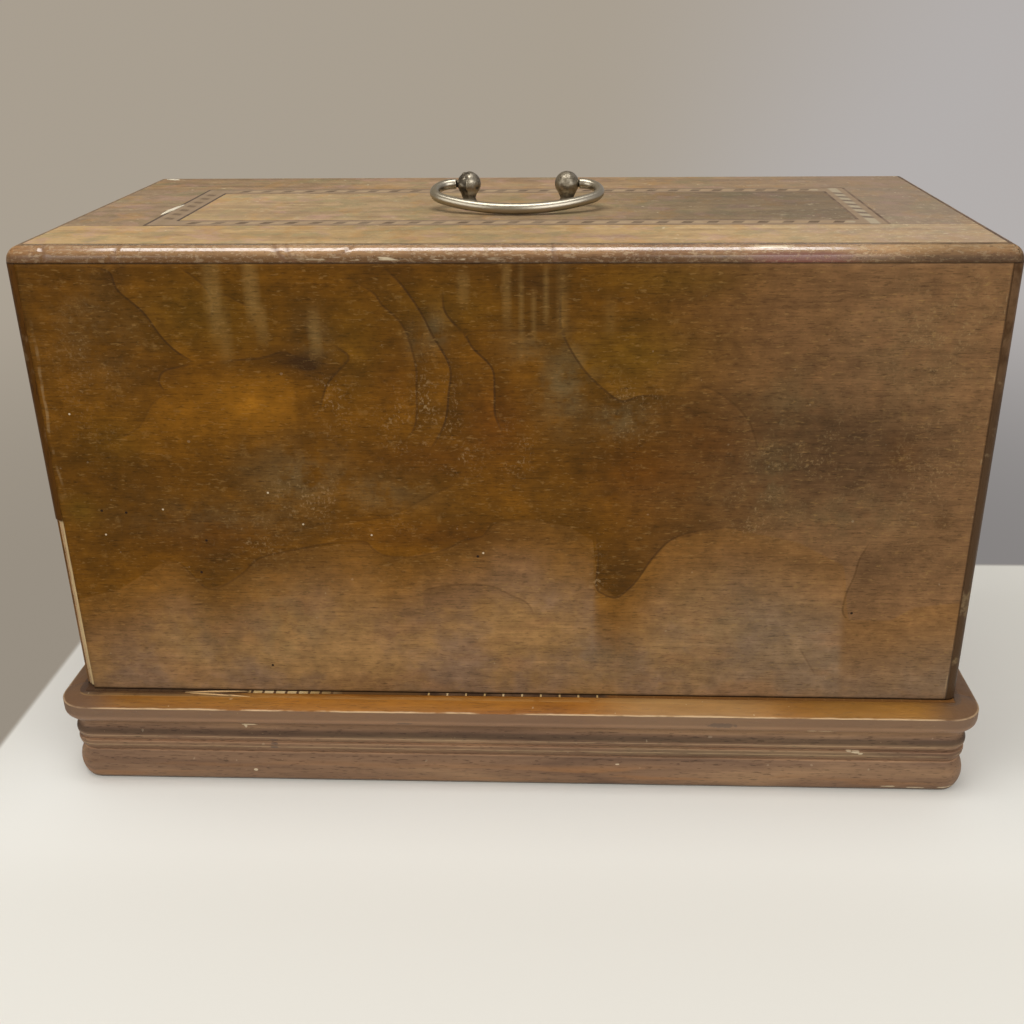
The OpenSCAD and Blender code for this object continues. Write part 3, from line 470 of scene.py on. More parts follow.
def inlay_material(name, tone, worn_tone, left_tone=None, right_tone=None, edge_tone=None):
    """Small inlaid pieces of the top, rubbed unevenly. left_tone and right_tone are their colours
    in the two ends of the band, and edge_tone is their colour next to the lines."""
    material, s, shader = new_material(name)
    here = s.here()
    x, y, _ = s.axes(here)
    age = s.use(AGE, Vector=here)
    fibre = s.use(FIBRE, Vector=here)
    colour = s.mix(s.ramp(age["Mottle"], 0.40, 0.60), tone, worn_tone)
    if left_tone:
        colour = s.mix(s.ramp_mm(x, -172, -180), colour, left_tone)
    if right_tone:
        colour = s.mix(s.ramp_mm(x, 168, 178), colour, right_tone)
    if edge_tone:
        in_ends = s.ramp_mm(s.math("ABSOLUTE", x), 176, 180)
        off_long_run = s.math("ABSOLUTE", s.plus(s.math("ABSOLUTE", y), -BAND_MIDDLE_Y))
        off_end_run = s.math("ABSOLUTE", s.plus(s.math("ABSOLUTE", x), -BAND_MIDDLE_X))
        gaps = {0: in_ends, 2: off_long_run, 3: off_end_run}
        from_middle = s.add("ShaderNodeMix", gaps).outputs[0]
        colour = s.mix(s.ramp_mm(from_middle, 1.8, 3.4), colour, edge_tone)
    colour = s.vary(colour, fibre["Fibres"], 0.80, 1.20)
    colour = s.over(colour, age["Dabs"], 0.3, worn_tone)
    finish_wood(s, shader, colour, 0.6, fibre["Fibres"])
    return material


def ledge_inlay_material(name, tone, worn_tone):
    """The strip let into the ledge. Along the front its two ends are buried in old polish."""
    material, s, shader = new_material(name)
    here = s.here()
    x, y, _ = s.axes(here)
    age = s.use(AGE, Vector=here)
    colour = s.mix(s.ramp(age["Mottle"], 0.42, 0.62), tone, worn_tone)
    left = s.times(s.ramp_mm(x, -149, -151), s.ramp_mm(y, 60, 0))
    gap = s.most(s.near_mm(x, -61, 14), s.times(s.ramp_mm(x, -122, -92), s.ramp_mm(x, -56, -70)))
    gap = s.times(gap, s.ramp_mm(y, -100, -104))
    colour = s.mix(gap, colour, (0.12, 0.058, 0.020))
    right = s.times(s.ramp_mm(x, 50, 54), s.ramp_mm(y, -100, -104))
    colour = s.over(colour, left, 0.96, (0.066, 0.031, 0.014))
    colour = s.over(colour, right, 0.94, (0.19, 0.078, 0.018))
    finish_wood(s, shader, colour, 0.5, age["Mottle"])
    return material


def rolled_moulding_material(name, grain):
    """The quarter-round mouldings along the top: polished by hands, chipped along their edges,
    dull at their ends, with old red polish left in one stretch."""
    material, s, shader = new_material(name)
    vector = along(s, grain)
    here = s.here()
    x, _, z = s.axes(here)
    age = s.use(AGE, Vector=here)
    colour, _ = wood_colour(s, vector, (0.215, 0.106, 0.044), (0.300, 0.162, 0.070),
                            (0.38, 0.232, 0.106), fibre_depth=0.25, pore_depth=0.35)
    colour = s.vary(colour, s.noise(vector, (26, 60, 60), detail=4, roughness=0.65), 0.62, 1.38)
    middle = s.times(s.ramp_mm(x, -243, -222), s.ramp_mm(x, 200, 155))
    colour = s.over(colour, s.ramp_mm(x, -90, -180), 0.35, (0.240, 0.112, 0.030))
    low = s.ramp(z, TOP_Z - 2.6 * MM, TOP_Z - 6.2 * MM)
    colour = s.vary(colour, low, 1.05, 0.44)
    colour = s.over(colour, low, s.spread(s.ramp_mm(x, -40, -140), 0.15, 0.6), (0.130, 0.060, 0.020))
    red = s.times(s.times(s.near_mm(x, 140, 34), s.ramp_mm(z, 301.8, 299.8)), 0.95)
    colour = s.mix(red, colour, (0.17, 0.066, 0.044))
    scuffs = s.patches(vector, (300, 620, 620), 0.50, 0.62, detail=4, roughness=0.75)
    colour = s.over(colour, scuffs, s.spread(low, 0.42, 0.20), (0.54, 0.41, 0.25))
    flecks = s.patches(vector, (420, 520, 520), 0.60, 0.70, detail=3, roughness=0.7)
    colour = s.over(colour, flecks, 0.5, (0.115, 0.055, 0.028))
    low_line = s.times(s.near_mm(z, 298.2, 1.1), s.patches(here, (110, 500, 500), 0.50, 0.60, detail=4))
    colour = s.over(colour, s.times(low_line, s.near_mm(x, -52, 60)), 0.6, CREAM)
    raised = s.times(s.near_mm(x, 126.5, 12), s.near(z, TOP_Z - 1.1 * MM, 0.6 * MM))
    colour = s.over(colour, raised, 0.8, CREAM)
    nicks = s.patches(here, (300, 260, 260), 0.68, 0.74, detail=2)
    nicks = s.most(s.times(nicks, 0.7), s.painted("nick"))
    colour = s.over(colour, nicks, 0.75, (0.14, 0.070, 0.036))
    colour = s.vary(colour, s.ramp_mm(x, 170, 220), 1.0, 0.66)
    joint = s.times(s.near(z, TOP_Z - 0.18 * MM, 0.40 * MM),
                    s.spread(s.ramp(age["Mottle"], 0.40, 0.56), 0.30, 0.62))
    under = s.times(s.ramp(z, FACE_HIGH.z + 0.8 * MM, FACE_HIGH.z + 0.1 * MM),
                    s.spread(s.ramp_mm(x, 0, 170), 0.7, 0.3))
    darkening = s.most(under, joint)
    colour = s.mix(darkening, colour, GRIME_AND_SHADE)
    height = s.plus(s.times(age["Mottle"], 1.0), s.times(s.most(scuffs, nicks), -0.5))
    rough = s.plus(s.spread(s.most(scuffs, nicks), 0.20, 0.50), s.spread(middle, 0.22, 0.0))
    finish_wood(s, shader, colour, rough, height, 0.14 * MM, gloss=0.15, coat_roughness=0.10)
    polish = s.times(s.times(middle, s.spread(low, 1.0, 0.08)), s.spread(s.most(scuffs, nicks), 1.0, 0.35))
    s.feed(shader.inputs["Coat Weight"], polish)
    shader.inputs["Coat IOR"].default_value = 1.85
    return material


def corner_strip_material():
    """The corner strips: dark polish on the left ones, paler on the right, rubbed along their
    rounded faces and bare where the strip has broken away."""
    material, s, shader = new_material("dark_corner_strip")
    vector = along(s, "Z")
    here = s.here()
    x, _, z = s.axes(here)
    age = s.use(AGE, Vector=here)
    dark, grain_height = wood_colour(s, vector, (0.048, 0.017, 0.002), (0.072, 0.027, 0.003),
                                     (0.110, 0.044, 0.008))
    right = s.mix(s.ramp(age["Mottle"], 0.36, 0.60), (0.064, 0.031, 0.012), (0.125, 0.068, 0.032))
    right = s.mix(s.ramp_mm(z, 275, 205), right, (0.070, 0.038, 0.018))
    colour = s.mix(s.ramp_mm(x, -100, 100), dark, right)
    rubbed = s.patches(here, (60, 60, 60), 0.56, 0.72, detail=4, roughness=0.7)
    colour = s.over(colour, rubbed, s.spread(s.ramp_mm(x, -100, 100), 0.14, 0.26), PALE_WEAR)
    bare = s.vary(RAW_WOOD, s.noise(vector, (60, 900, 900), detail=3), 0.55, 1.3)
    colour = s.mix(s.painted("bare"), colour, bare)
    colour = foot_and_joint_lines(s, z, colour)
    finish_wood(s, shader, colour, s.spread(rubbed, 0.36, 0.6), grain_height, gloss=0.06)
    return material


def ledge_material(name, grain):
    """The ledge: golden on its sloping edge and in the middle of its flat, brown towards the corners,
    purple-brown on its nose with painted light low on it, and the arrises between them rubbed pale."""
    material, s, shader = new_material(name)
    vector = along(s, grain)
    here = s.here()
    x, y, z = s.axes(here)
    age = s.use(AGE, Vector=here)
    arris_z = LEDGE_HIGH.z - 2.8 * MM
    slope, grain_height = wood_colour(s, vector, (0.190, 0.064, 0.007), (0.290, 0.112, 0.013),
                                      (0.385, 0.180, 0.035), fibre_depth=0.25, pore_depth=0.3)
    slope = s.over(slope, s.ramp(age["Clouds"], 0.52, 0.66), 0.6, (0.320, 0.118, 0.012))
    slope = s.over(slope, s.near_mm(x, 100, 70), 0.45, (0.38, 0.245, 0.110))
    slope = s.over(slope, s.ramp_mm(x, 135, 175), 0.55, (0.225, 0.115, 0.026))
    slope = s.vary(slope, s.ramp_mm(x, -230, -120), 0.80, 1.10)
    slope = s.vary(slope, s.noise(vector, (22, 120, 120), detail=4, roughness=0.65), 0.56, 1.44)
    ends = s.most(s.ramp_mm(x, -214, -244), s.ramp_mm(x, 218, 246))
    slope = s.over(slope, ends, 0.85, (0.130, 0.068, 0.034))
    golden = s.times(s.ramp_mm(x, -166, -140), s.ramp_mm(y, -90, -100))
    brown = s.mix(0.55, s.shade(slope, 0.36), (0.085, 0.045, 0.028))
    flat = s.over(brown, golden, 0.88, slope)
    flat = s.over(flat, s.ramp_mm(x, 230, 246), 0.6, (0.110, 0.070, 0.045))
    nose = s.mix(0.75, s.shade(slope, 0.45), (0.205, 0.120, 0.070))
    # Painted light: the lower, downward-facing part of the nose made lighter
    nose = s.vary(nose, s.near(z, LEDGE_LOW.z + 3.0 * MM, 2.4 * MM), 1.0, 1.35)
    colour = s.mix(s.ramp(z, arris_z - 0.25 * MM, arris_z + 0.15 * MM), nose, slope)
    colour = s.mix(s.ramp(z, LEDGE_HIGH.z - 0.22 * MM, LEDGE_HIGH.z - 0.04 * MM), colour, flat)
    worn = s.use(ARRIS, Vector=here, Height=z, Level=arris_z, Width=0.28 * MM)["Line"]
    worn = s.times(worn, s.spread(ends, 1.0, 0.5))
    upper = s.times(s.near(z, LEDGE_HIGH.z - 0.17 * MM, 0.17 * MM), s.ramp(age["Mottle"], 0.34, 0.50))
    upper = s.times(upper, s.ramp_mm(y, -118.5, -119.5))
    colour = s.over(colour, s.times(upper, s.ramp_mm(x, 120, 60)), 0.3, (0.48, 0.28, 0.10))
    colour = s.over(colour, worn, 0.85, (0.62, 0.43, 0.24))
    grey = s.times(marks(s, here, [(114, 46.0, 9, 1.5), (-60, 44, 5, 0.8)]), 0.5)
    colour = s.mix(grey, colour, (0.075, 0.058, 0.045))
    colour = s.over(colour, marks(s, here, [(172, 42.2, 5, 0.45), (164, 42.4, 3, 0.4)]), 0.8, CREAM)
    colour = s.over(colour, age["Specks"], 0.3, CREAM)
    colour = s.over(colour, age["Scratches"], 0.2, PALE_WEAR)
    finish_wood(s, shader, colour, s.spread(age["Mottle"], 0.34, 0.6), grain_height, gloss=0.3)
    return material


def lower_moulding_material(name, grain):
    """The lower mouldings: dull purple-brown, pale along the edges, with painted light in the cove under
    the ledge and a painted shadow line below it.
    """
    material, s, shader = new_material(name)
    vector = along(s, grain)
    here = s.here()
    x, _, z = s.axes(here)
    age = s.use(AGE, Vector=here)
    colour, grain_height = wood_colour(s, vector, (0.122, 0.068, 0.040), (0.190, 0.108, 0.060),
                                       (0.265, 0.156, 0.082), fibre_depth=0.36, pore_depth=0.42)
    streaks = s.patches(vector, (7, 130, 130), 0.48, 0.62, detail=3, roughness=0.6)
    warm = s.times(s.near_mm(z, 8, 9), s.patches(vector, (11, 190, 190), 0.50, 0.62, detail=3))
    warm = s.times(warm, s.spread(s.near_mm(x, 60, 70), 0.30, 0.55))
    colour = s.mix(warm, colour, (0.29, 0.135, 0.050))
    colour = s.vary(colour, s.ramp_mm(z, 19, 17), 1.0, 1.12)
    greenish = s.times(s.near_mm(z, 27, 8), streaks)
    colour = s.over(colour, greenish, 0.35, (0.225, 0.158, 0.085))
    # Painted light: the cove under the ledge's nose made lighter
    colour = s.vary(colour, s.near_mm(z, 37.5, 3.5), 1.0, 1.12)
    # Painted shadow: a dark line in the groove below the cove
    colour = s.vary(colour, s.near_mm(z, 33.0, 2.4), 1.0, 0.52)
    for level, half, lift in ((29.6, 1.6, 1.25), (26.5, 1.0, 1.7), (19.5, 1.3, 1.6)):
        colour = s.vary(colour, s.near(z, level * MM, half * MM), 1.0, lift)
    for level, width in ((30.2 * MM, 0.4 * MM), (23.9 * MM, 0.45 * MM)):
        worn = s.use(ARRIS, Vector=here, Height=z, Level=level, Width=width)["Line"]
        colour = s.over(colour, worn, 0.40, PALE_WEAR)
    chips = [(-149, 38.2, 4.5, 0.6), (-151.5, 37.2, 0.9, 1.6), (186.5, 26.7, 1.7, 0.45),
             (190, 26.1, 2.2, 0.65), (193, 25.3, 1.4, 0.5), (-148, 8.6, 1.1, 0.8), (211, 3.2, 4, 0.6),
             (226, 2.4, 6, 0.5), (243, 2.8, 5, 0.5), (58, 15.5, 1.2, 0.4)]
    colour = s.over(colour, marks(s, here, chips), 0.66, CREAM)
    colour = s.over(colour, marks(s, here, [(-136, 28.5, 2.4, 0.7), (-136, 26, 2.0, 0.6),
                                            (-136, 23.6, 2.4, 0.7)]), 0.6, (0.07, 0.055, 0.05))
    colour = s.over(colour, age["Specks"], 0.14, CREAM)
    colour = s.over(colour, age["Scratches"], 0.25, PALE_WEAR)
    colour = s.over(colour, s.ramp_mm(z, 2.6, 0.3), 0.8, (0.125, 0.112, 0.090))
    finish_wood(s, shader, colour, s.spread(age["Mottle"], 0.42, 0.66), grain_height, gloss=0.2)
    return material


def bare_wood_material(name, grain, tones=((0.36, 0.22, 0.11), (0.48, 0.32, 0.17), (0.56, 0.40, 0.23))):
    """Planed softwood that was never polished, inside the cover and the base."""
    material, s, shader = new_material(name)
    vector = along(s, grain)
    age = s.use(AGE, Vector=vector)
    colour, grain_height = wood_colour(s, vector, *tones, fibre_depth=0.2)
    colour = s.over(colour, s.ramp(age["Clouds"], 0.5, 0.72), 0.4, (0.24, 0.15, 0.08))
    finish_wood(s, shader, colour, 0.75, grain_height)
    return material


# ---- Metals ----

def finish_metal(s, shader, colour, roughness, height, depth):
    s.feed(shader.inputs["Base Color"], colour)
    s.feed(shader.inputs["Roughness"], roughness)
    s.feed(shader.inputs["Normal"], s.bump(height, depth))
    shader.inputs["Metallic"].default_value = 1.0


def metal_material(name, bright, dull, roughness, pitting):
    """Metal that has lost its shine in patches. pitting is how much of it is stained."""
    material, s, shader = new_material(name)
    here = s.here()
    age = s.use(AGE, Vector=here)
    tarnish = s.patches(here, (240, 240, 240), 0.72 - 0.3 * pitting, 0.72, detail=5, roughness=0.7)
    brushed = s.noise(here, (70, 1100, 1100), detail=2)
    colour = s.mix(tarnish, bright, dull)
    rough = s.plus(s.spread(tarnish, roughness, roughness + 0.25), s.times(brushed, 0.08))
    height = s.plus(s.times(tarnish, -0.6), s.times(age["Mottle"], 0.6))
    finish_metal(s, shader, colour, rough, height, 0.10 * MM)
    return material


def post_material():
    """The handle posts: nickel gone grey-brown, darkest at the neck, with a painted highlight on the foot,
    and flaked away with a crack on the left ball."""
    material, s, shader = new_material("worn_post_nickel")
    here = s.here()
    x, y, z = s.axes(here)
    tarnish = s.patches(here, (300, 300, 300), 0.40, 0.66, detail=5, roughness=0.7)
    colour = s.mix(tarnish, (0.33, 0.29, 0.22), (0.15, 0.125, 0.088))
    neck = s.near(z, TOP_Z + 4.6 * MM, 3.6 * MM)
    colour = s.over(colour, neck, 0.50, (0.060, 0.046, 0.028))
    # Painted highlight: a pale band round the post's foot
    colour = s.mix(s.ramp(z, TOP_Z + 2.4 * MM, TOP_Z + 1.2 * MM), colour, (0.62, 0.56, 0.44))
    flaked = s.painted("flaked")
    colour = s.over(colour, flaked, 0.8, (0.050, 0.040, 0.030))
    wobble = s.times(s.noise(here, (260, 260, 260), detail=2), 2.4 * MM)
    crack = s.times(s.near_mm(s.plus(x, wobble), -27.5, 0.35), s.near(z, TOP_Z + 10.5 * MM, 5 * MM))
    crack = s.times(crack, s.ramp_mm(y, -1, -3))
    colour = s.mix(crack, colour, (0.02, 0.016, 0.012))
    rough = s.plus(s.spread(tarnish, 0.30, 0.46), s.times(s.most(flaked, neck), 0.2))
    finish_metal(s, shader, colour, rough, s.plus(tarnish, s.times(crack, -2.0)), 0.12 * MM)
    return material


MATERIALS = {
    "front": front_veneer_material(),
    "wall_x": wall_veneer_material("walnut_wall_long", "X"),
    "wall_y": wall_veneer_material("walnut_wall_end", "Y"),
    "straw": top_veneer_material("straw_border_veneer", (0.325, 0.205, 0.092), (0.420, 0.270, 0.117),
                                 (0.52, 0.355, 0.172), 0.30, (1.00, 0.84, 1.02)),
    "back_straw": top_veneer_material("back_border_veneer", (0.25, 0.155, 0.080), (0.345, 0.212, 0.104),
                                      (0.42, 0.280, 0.142), 0.25, (0.76, 0.90, 0.82)),
    "field": top_veneer_material("field_veneer", (0.30, 0.195, 0.098), (0.375, 0.250, 0.122),
                                 (0.44, 0.305, 0.150), 0.35, (1.03, 0.85, 0.53)),
    "ends": top_veneer_material("end_border_veneer", (0.240, 0.155, 0.088), (0.300, 0.198, 0.110),
                                (0.355, 0.242, 0.142), 0.2, (0.84, 0.88, 0.84)),
    "lines": inlay_material("inlaid_lines", (0.110, 0.066, 0.038), (0.19, 0.125, 0.075),
    (0.080, 0.052, 0.034)),
    "band": inlay_material("inlaid_band", (0.300, 0.200, 0.110), (0.36, 0.25, 0.14), (0.25, 0.170, 0.095),
                           (0.36, 0.285, 0.185), (0.270, 0.185, 0.110)),
    "slips": inlay_material("inlaid_slips", (0.120, 0.074, 0.038), (0.185, 0.126, 0.072),
    (0.155, 0.100, 0.056),
                            (0.17, 0.120, 0.080), (0.250, 0.170, 0.100)),
    "dark_strip": ledge_inlay_material("ledge_strip_dark", (0.070, 0.036, 0.018), (0.13, 0.07, 0.035)),
    "pale_strip": ledge_inlay_material("ledge_strip_pale", (0.50, 0.33, 0.13), (0.62, 0.46, 0.24)),
    "roll": rolled_moulding_material("hand_polished_moulding", "X"),
    "roll_y": rolled_moulding_material("hand_polished_side_moulding", "Y"),
    "corner": corner_strip_material(),
    "ledge": ledge_material("ledge_walnut", "X"),
    "ledge_y": ledge_material("side_ledge_walnut", "Y"),
    "moulding": lower_moulding_material("stained_moulding", "X"),
    "moulding_y": lower_moulding_material("stained_side_moulding", "Y"),
    "bare_x": bare_wood_material("bare_wood_long", "X"),
    "bare_y": bare_wood_material("bare_wood_across", "Y"),
    "bare_z": bare_wood_material("bare_wood_upright", "Z"),
    "splinter": bare_wood_material("splintered_wood", "X", ((0.48, 0.27, 0.10), (0.62, 0.38, 0.16),
                                                            (0.74, 0.52, 0.27))),
    "chip": bare_wood_material("chipped_white_wood", "X", ((0.60, 0.52, 0.38), (0.70, 0.62, 0.47),
                                                           (0.78, 0.70, 0.56))),
    "rod": metal_material("worn_rod_nickel", (0.40, 0.36, 0.28), (0.21, 0.18, 0.13), 0.26, 0.25),
    "post": post_material(),
    "iron": metal_material("old_iron", (0.34, 0.32, 0.29), (0.10, 0.075, 0.05), 0.42, 0.6),
    "brass": metal_material("dull_brass", (0.66, 0.50, 0.22), (0.26, 0.18, 0.08), 0.34, 0.5),
}

FINISHES = {
    "front": ["cover_front_veneer"],
    "wall_x": ["cover_back_veneer"],
    "wall_y": ["cover_left_veneer", "cover_right_veneer"],
    "straw": ["front_border_veneer"],
    "back_straw": ["back_border_veneer"],
    "field": ["top_field_veneer"],
    "ends": ["left_border_veneer", "right_border_veneer"],
    "lines": ["inlay_lines"],
    "band": ["inlay_band"],
    "slips": ["inlay_slips"],
    "dark_strip": ["ledge_inlay_strip"],
    "pale_strip": ["ledge_inlay_blocks"],
    "roll": ["front_top_moulding", "back_top_moulding"],
    "roll_y": ["left_top_moulding", "right_top_moulding"],
    "corner": ["front_left_corner_strip", "front_right_corner_strip", "back_left_corner_strip",
               "back_right_corner_strip"],
    "ledge": ["front_ledge_rail", "back_ledge_rail"],
    "ledge_y": ["left_ledge_rail", "right_ledge_rail"],
    "moulding": ["front_bead_rail", "back_bead_rail", "front_plinth_rail", "back_plinth_rail"],
    "moulding_y": ["left_bead_rail", "right_bead_rail", "left_plinth_rail", "right_plinth_rail"],
    "bare_x": ["cover_front_board", "cover_back_board", "cover_top_board", "bottom_board"],
    "bare_y": ["cover_left_board", "cover_right_board"],
    "bare_z": ["cover_glue_blocks", "bed_rest_blocks"],
    "rod": ["bail_handle"],
    "post": ["left_handle_post", "right_handle_post"],
    "iron": ["handle_nuts_and_washers", "left_lock_case", "right_lock_case", "left_staple", "right_staple",
             "staple_screws", "machine_hinge_plates", "machine_hinge_axles", "machine_hinge_screws",
             "left_machine_pin", "right_machine_pin", "lock_screws"],
    "brass": ["left_lock_bolt", "right_lock_bolt", "keyhole_liners"],
}

for finish, names in FINISHES.items():
    for name in names:
        NODES[name].data.materials.clear()
        NODES[name].data.materials.append(MATERIALS[finish])


# ---- New pieces ----

def new_piece(name, bm, material, body, *replaced, crease=math.radians(180)):
    """Makes a mesh object of bm that rides on body and stands for the replaced nodes. Edges
    sharper than crease stay crisp."""
    bmesh.ops.recalc_face_normals(bm, faces=bm.faces)
    mesh = bpy.data.meshes.new(name)
    bm.to_mesh(mesh)
    bm.free()
    if crease < math.pi:
        mesh.shade_smooth()
        mesh.set_sharp_from_angle(angle=crease)
    mesh.materials.append(MATERIALS[material])
    piece = bpy.data.objects.new(name, mesh)
    bpy.context.scene.collection.objects.link(piece)
    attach(piece, body)
    if replaced:
        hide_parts(*replaced)
    return piece


def paint(mesh, name, values):
    attribute = mesh.attributes.new(name, "FLOAT", "POINT")
    attribute.data.foreach_set("value", np.asarray(values, np.float32))


def merged(node):
    """A node's loose triangles joined into one closed shape of whole faces."""
    bm = bmesh.new()
    bm.from_mesh(NODES[node].data)
    bmesh.ops.remove_doubles(bm, verts=bm.verts, dist=0.001 * MM)
    bmesh.ops.dissolve_limit(bm, angle_limit=math.radians(0.5), verts=bm.verts, edges=bm.edges)
    return bm


def ease_edges(bm, width, sharper_than=math.radians(35)):
    """Rounds over the edges between faces that meet sharply."""
    sharp = [edge for edge in bm.edges if edge.is_manifold and edge.calc_face_angle() > sharper_than]
    bmesh.ops.bevel(bm, geom=sharp, offset=width, affect="EDGES", segments=2, profile=0.5, material=-1)


def cut_across(bm, axis, low, high, spacing):
    """Cuts the shape into slices across one axis, so that it can be dented and reshaped there."""
    normal = Vector((axis == 0, axis == 1, axis == 2))
    for step in range(1, int((high[axis] - low[axis]) / spacing)):
        everything = bm.verts[:] + bm.edges[:] + bm.faces[:]
        place = low + normal * spacing * step
        bmesh.ops.bisect_plane(bm, geom=everything, plane_co=place, plane_no=normal, dist=0.001 * MM)


def worn_copy(node, finish, spacing=7 * MM, edge=0.35 * MM, dent=0.16 * MM, shape=None):
    """A long piece with its own form, its edges rubbed round and its faces slightly uneven.
    shape(bm) works on it further and returns what is painted on it."""
    low, high = (Vector(corner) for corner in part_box(node))
    longest = max(range(3), key=lambda axis: high[axis] - low[axis])
    bm = merged(node)
    ease_edges(bm, edge)
    cut_across(bm, longest, low, high, spacing)
    bm.normal_update()
    for vert in bm.verts:
        hollow = 0.5 + 0.5 * noise.noise(vert.co * 45)
        vert.co -= vert.normal * dent * max(0.0, min(1.0, hollow))
    painted = shape(bm) if shape else {}
    piece = new_piece(f"worn_{node}", bm, finish, BODY_OF[node], node, crease=math.radians(40))
    for name, values in painted.items():
        paint(piece.data, name, values)
    return piece


# Nicks across the front's rolled moulding: place along X, lean, half width and depth, in millimetres
MOULDING_NICKS = [(-224, -1.5, 0.9, 0.35), (-109, -3.5, 1.3, 0.45), (-104, -2.5, 0.7, 0.35),
                  (-80, 7.0, 1.2, 0.45), (-190, 2.0, 0.7, 0.3), (23, -1.5, 0.9, 0.22)]


def nick_moulding(bm):
    """Slanting nicks across the front moulding, and its ends rounded with the corners."""
    painted = []
    middle_z = (FACE_HIGH.z + TOP_Z) / 2
    for vert in bm.verts:
        x, z = vert.co.x / MM, (vert.co.z - middle_z) / (4 * MM)
        strength = 0.0
        for place, lean, half, depth in MOULDING_NICKS:
            near = math.exp(-((x - place - lean * z) / half) ** 2)
            vert.co -= vert.normal * near * depth * MM
            strength = max(strength, near)
        painted.append(strength)
    round_corners(bm)
    return {"nick": painted}


def ease_lip(bm):
    """Draws in the lip at the top of the hollow, so that the ledge's nose runs into it softly."""
    corner_radius, set_back, lip = 20.7 * MM, 4.4 * MM, 1.8 * MM
    reach = Vector((LEDGE_HIGH.x - corner_radius, -LEDGE_LOW.y - corner_radius, 0))
    limit = corner_radius - set_back
    for vert in bm.verts:
        if vert.co.z < LEDGE_LOW.z - lip:
            continue
        out_x = math.copysign(max(0.0, abs(vert.co.x) - reach.x), vert.co.x)
        out_y = math.copysign(max(0.0, abs(vert.co.y) - reach.y), vert.co.y)
        out = Vector((out_x, out_y, 0))
        if out.length > limit:
            vert.co -= out.normalized() * (out.length - limit)
    return {}


CORNER_ROUND = 6.5 * MM


def round_corners(bm):
    """Rounds over the four corners where the top mouldings meet, at every height of their profile."""
    profile, corner = TOP_Z - FACE_HIGH.z, CORNER_ROUND
    for vert in bm.verts:
        rise = max(0.0, vert.co.z - FACE_HIGH.z)
        inset = profile - math.sqrt(max(0.0, profile ** 2 - rise ** 2))
        out = Vector((abs(vert.co.x) - COVER_HIGH.x + corner, abs(vert.co.y) - COVER_HIGH.y + corner, 0))
        limit = max(0.0, corner - inset)
        if min(out.x, out.y) > 0 and out.length > limit:
            pull = out.normalized() * (out.length - limit)
            vert.co -= Vector((math.copysign(pull.x, vert.co.x), math.copysign(pull.y, vert.co.y), 0))
    return {}


BREAK_Z = 158 * MM


def break_strip(bm):
    """The lower half of the front left strip has broken away, down to the raw wood behind it."""
    core = Vector((FACE_LOW.x + 0.4 * MM, FACE_LOW.y + 5.6 * MM, 0))
    painted = []
    for vert in bm.verts:
        ragged = noise.noise(vert.co * 240) * 0.6 + noise.noise(vert.co * 60) * 0.8
        broken = max(0.0, min(1.0, (BREAK_Z - vert.co.z) / (2.0 * MM) + 0.5 + ragged))
        inward = Vector((core.x - vert.co.x, core.y - vert.co.y, 0))
        outer = max(0.0, min(1.0, (inward.length - 2.2 * MM) / (2.0 * MM)))
        vert.co += inward.normalized() * broken * outer * (2.3 + 0.5 * ragged) * MM
        painted.append(broken * outer)
    return {"bare": painted}


SLIVER_SLICES = 12


def splinters():
    """Two long slivers lifted from the ledge where its inlay has split away, one from the outline
    of the band on the top, and one at the top's back left corner."""
    slivers = [("ledge_splinter_back", (-186, -117.6), (-151, -115.6), 0.55, "base", "splinter"),
               ("ledge_splinter_front", (-183, -118.4), (-148, -121.2), 0.50, "base", "splinter"),
               ("band_splinter", (-194.9, -27), (-192.3, 5), 1.5, "cover", "chip"),
               ("back_corner_chip", (-235, 104.0), (-226, 101.5), 1.8, "cover", "chip")]
    for name, start, end, half_width, body, finish in slivers:
        height = LEDGE_HIGH.z if body == "base" else TOP_Z
        run = Vector((end[0] - start[0], end[1] - start[1], 0)) * MM
        bm = bmesh.new()
        bmesh.ops.create_cube(bm, size=1.0)
        cut_across(bm, 0, Vector((-0.5, 0, 0)), Vector((0.5, 0, 0)), 1 / SLIVER_SLICES)
        for vert in bm.verts:
            share = vert.co.x + 0.5
            taper = math.sin(math.pi * min(1.0, 0.04 + share * 0.93)) ** 0.7
            wave = noise.noise(Vector((share * 5, start[0], vert.co.y))) * 0.25
            vert.co.y = (vert.co.y * 2 * taper + wave * taper) * half_width * MM
            lift = 0.30 * MM * taper if vert.co.z > 0 else 0.0
            vert.co.z = 0.02 * MM + lift
            vert.co.x = share * run.length
        turn = Matrix.Rotation(math.atan2(run.y, run.x), 3, "Z")
        bmesh.ops.rotate(bm, matrix=turn, verts=bm.verts)
        bmesh.ops.translate(bm, vec=(start[0] * MM, start[1] * MM, height), verts=bm.verts)
        piece = new_piece(name, bm, finish, body, crease=math.radians(50))


# Turned outline of a handle post between its foot and its ball: height above the top, and radius
POST_WAIST = [(1.3, 8.0), (1.6, 6.2), (2.1, 5.0), (2.8, 4.2), (3.8, 3.75), (4.8, 3.65), (5.8, 3.8),
              (6.7, 4.25),
              (7.5, 5.0), (8.4, 5.75), (9.4, 6.4), (10.5, 8.0)]


# The posts' balls: their middle below the top of the post, the shell that counts as the ball's
# face, and the radius inside which the post's core is left alone
BALL_MIDDLE_DROP = 6.75 * MM
BALL_FACE = (6.2 * MM, 7.0 * MM)
POST_CORE = 4.5 * MM
FLAKE_DEPTH_MM = 0.40


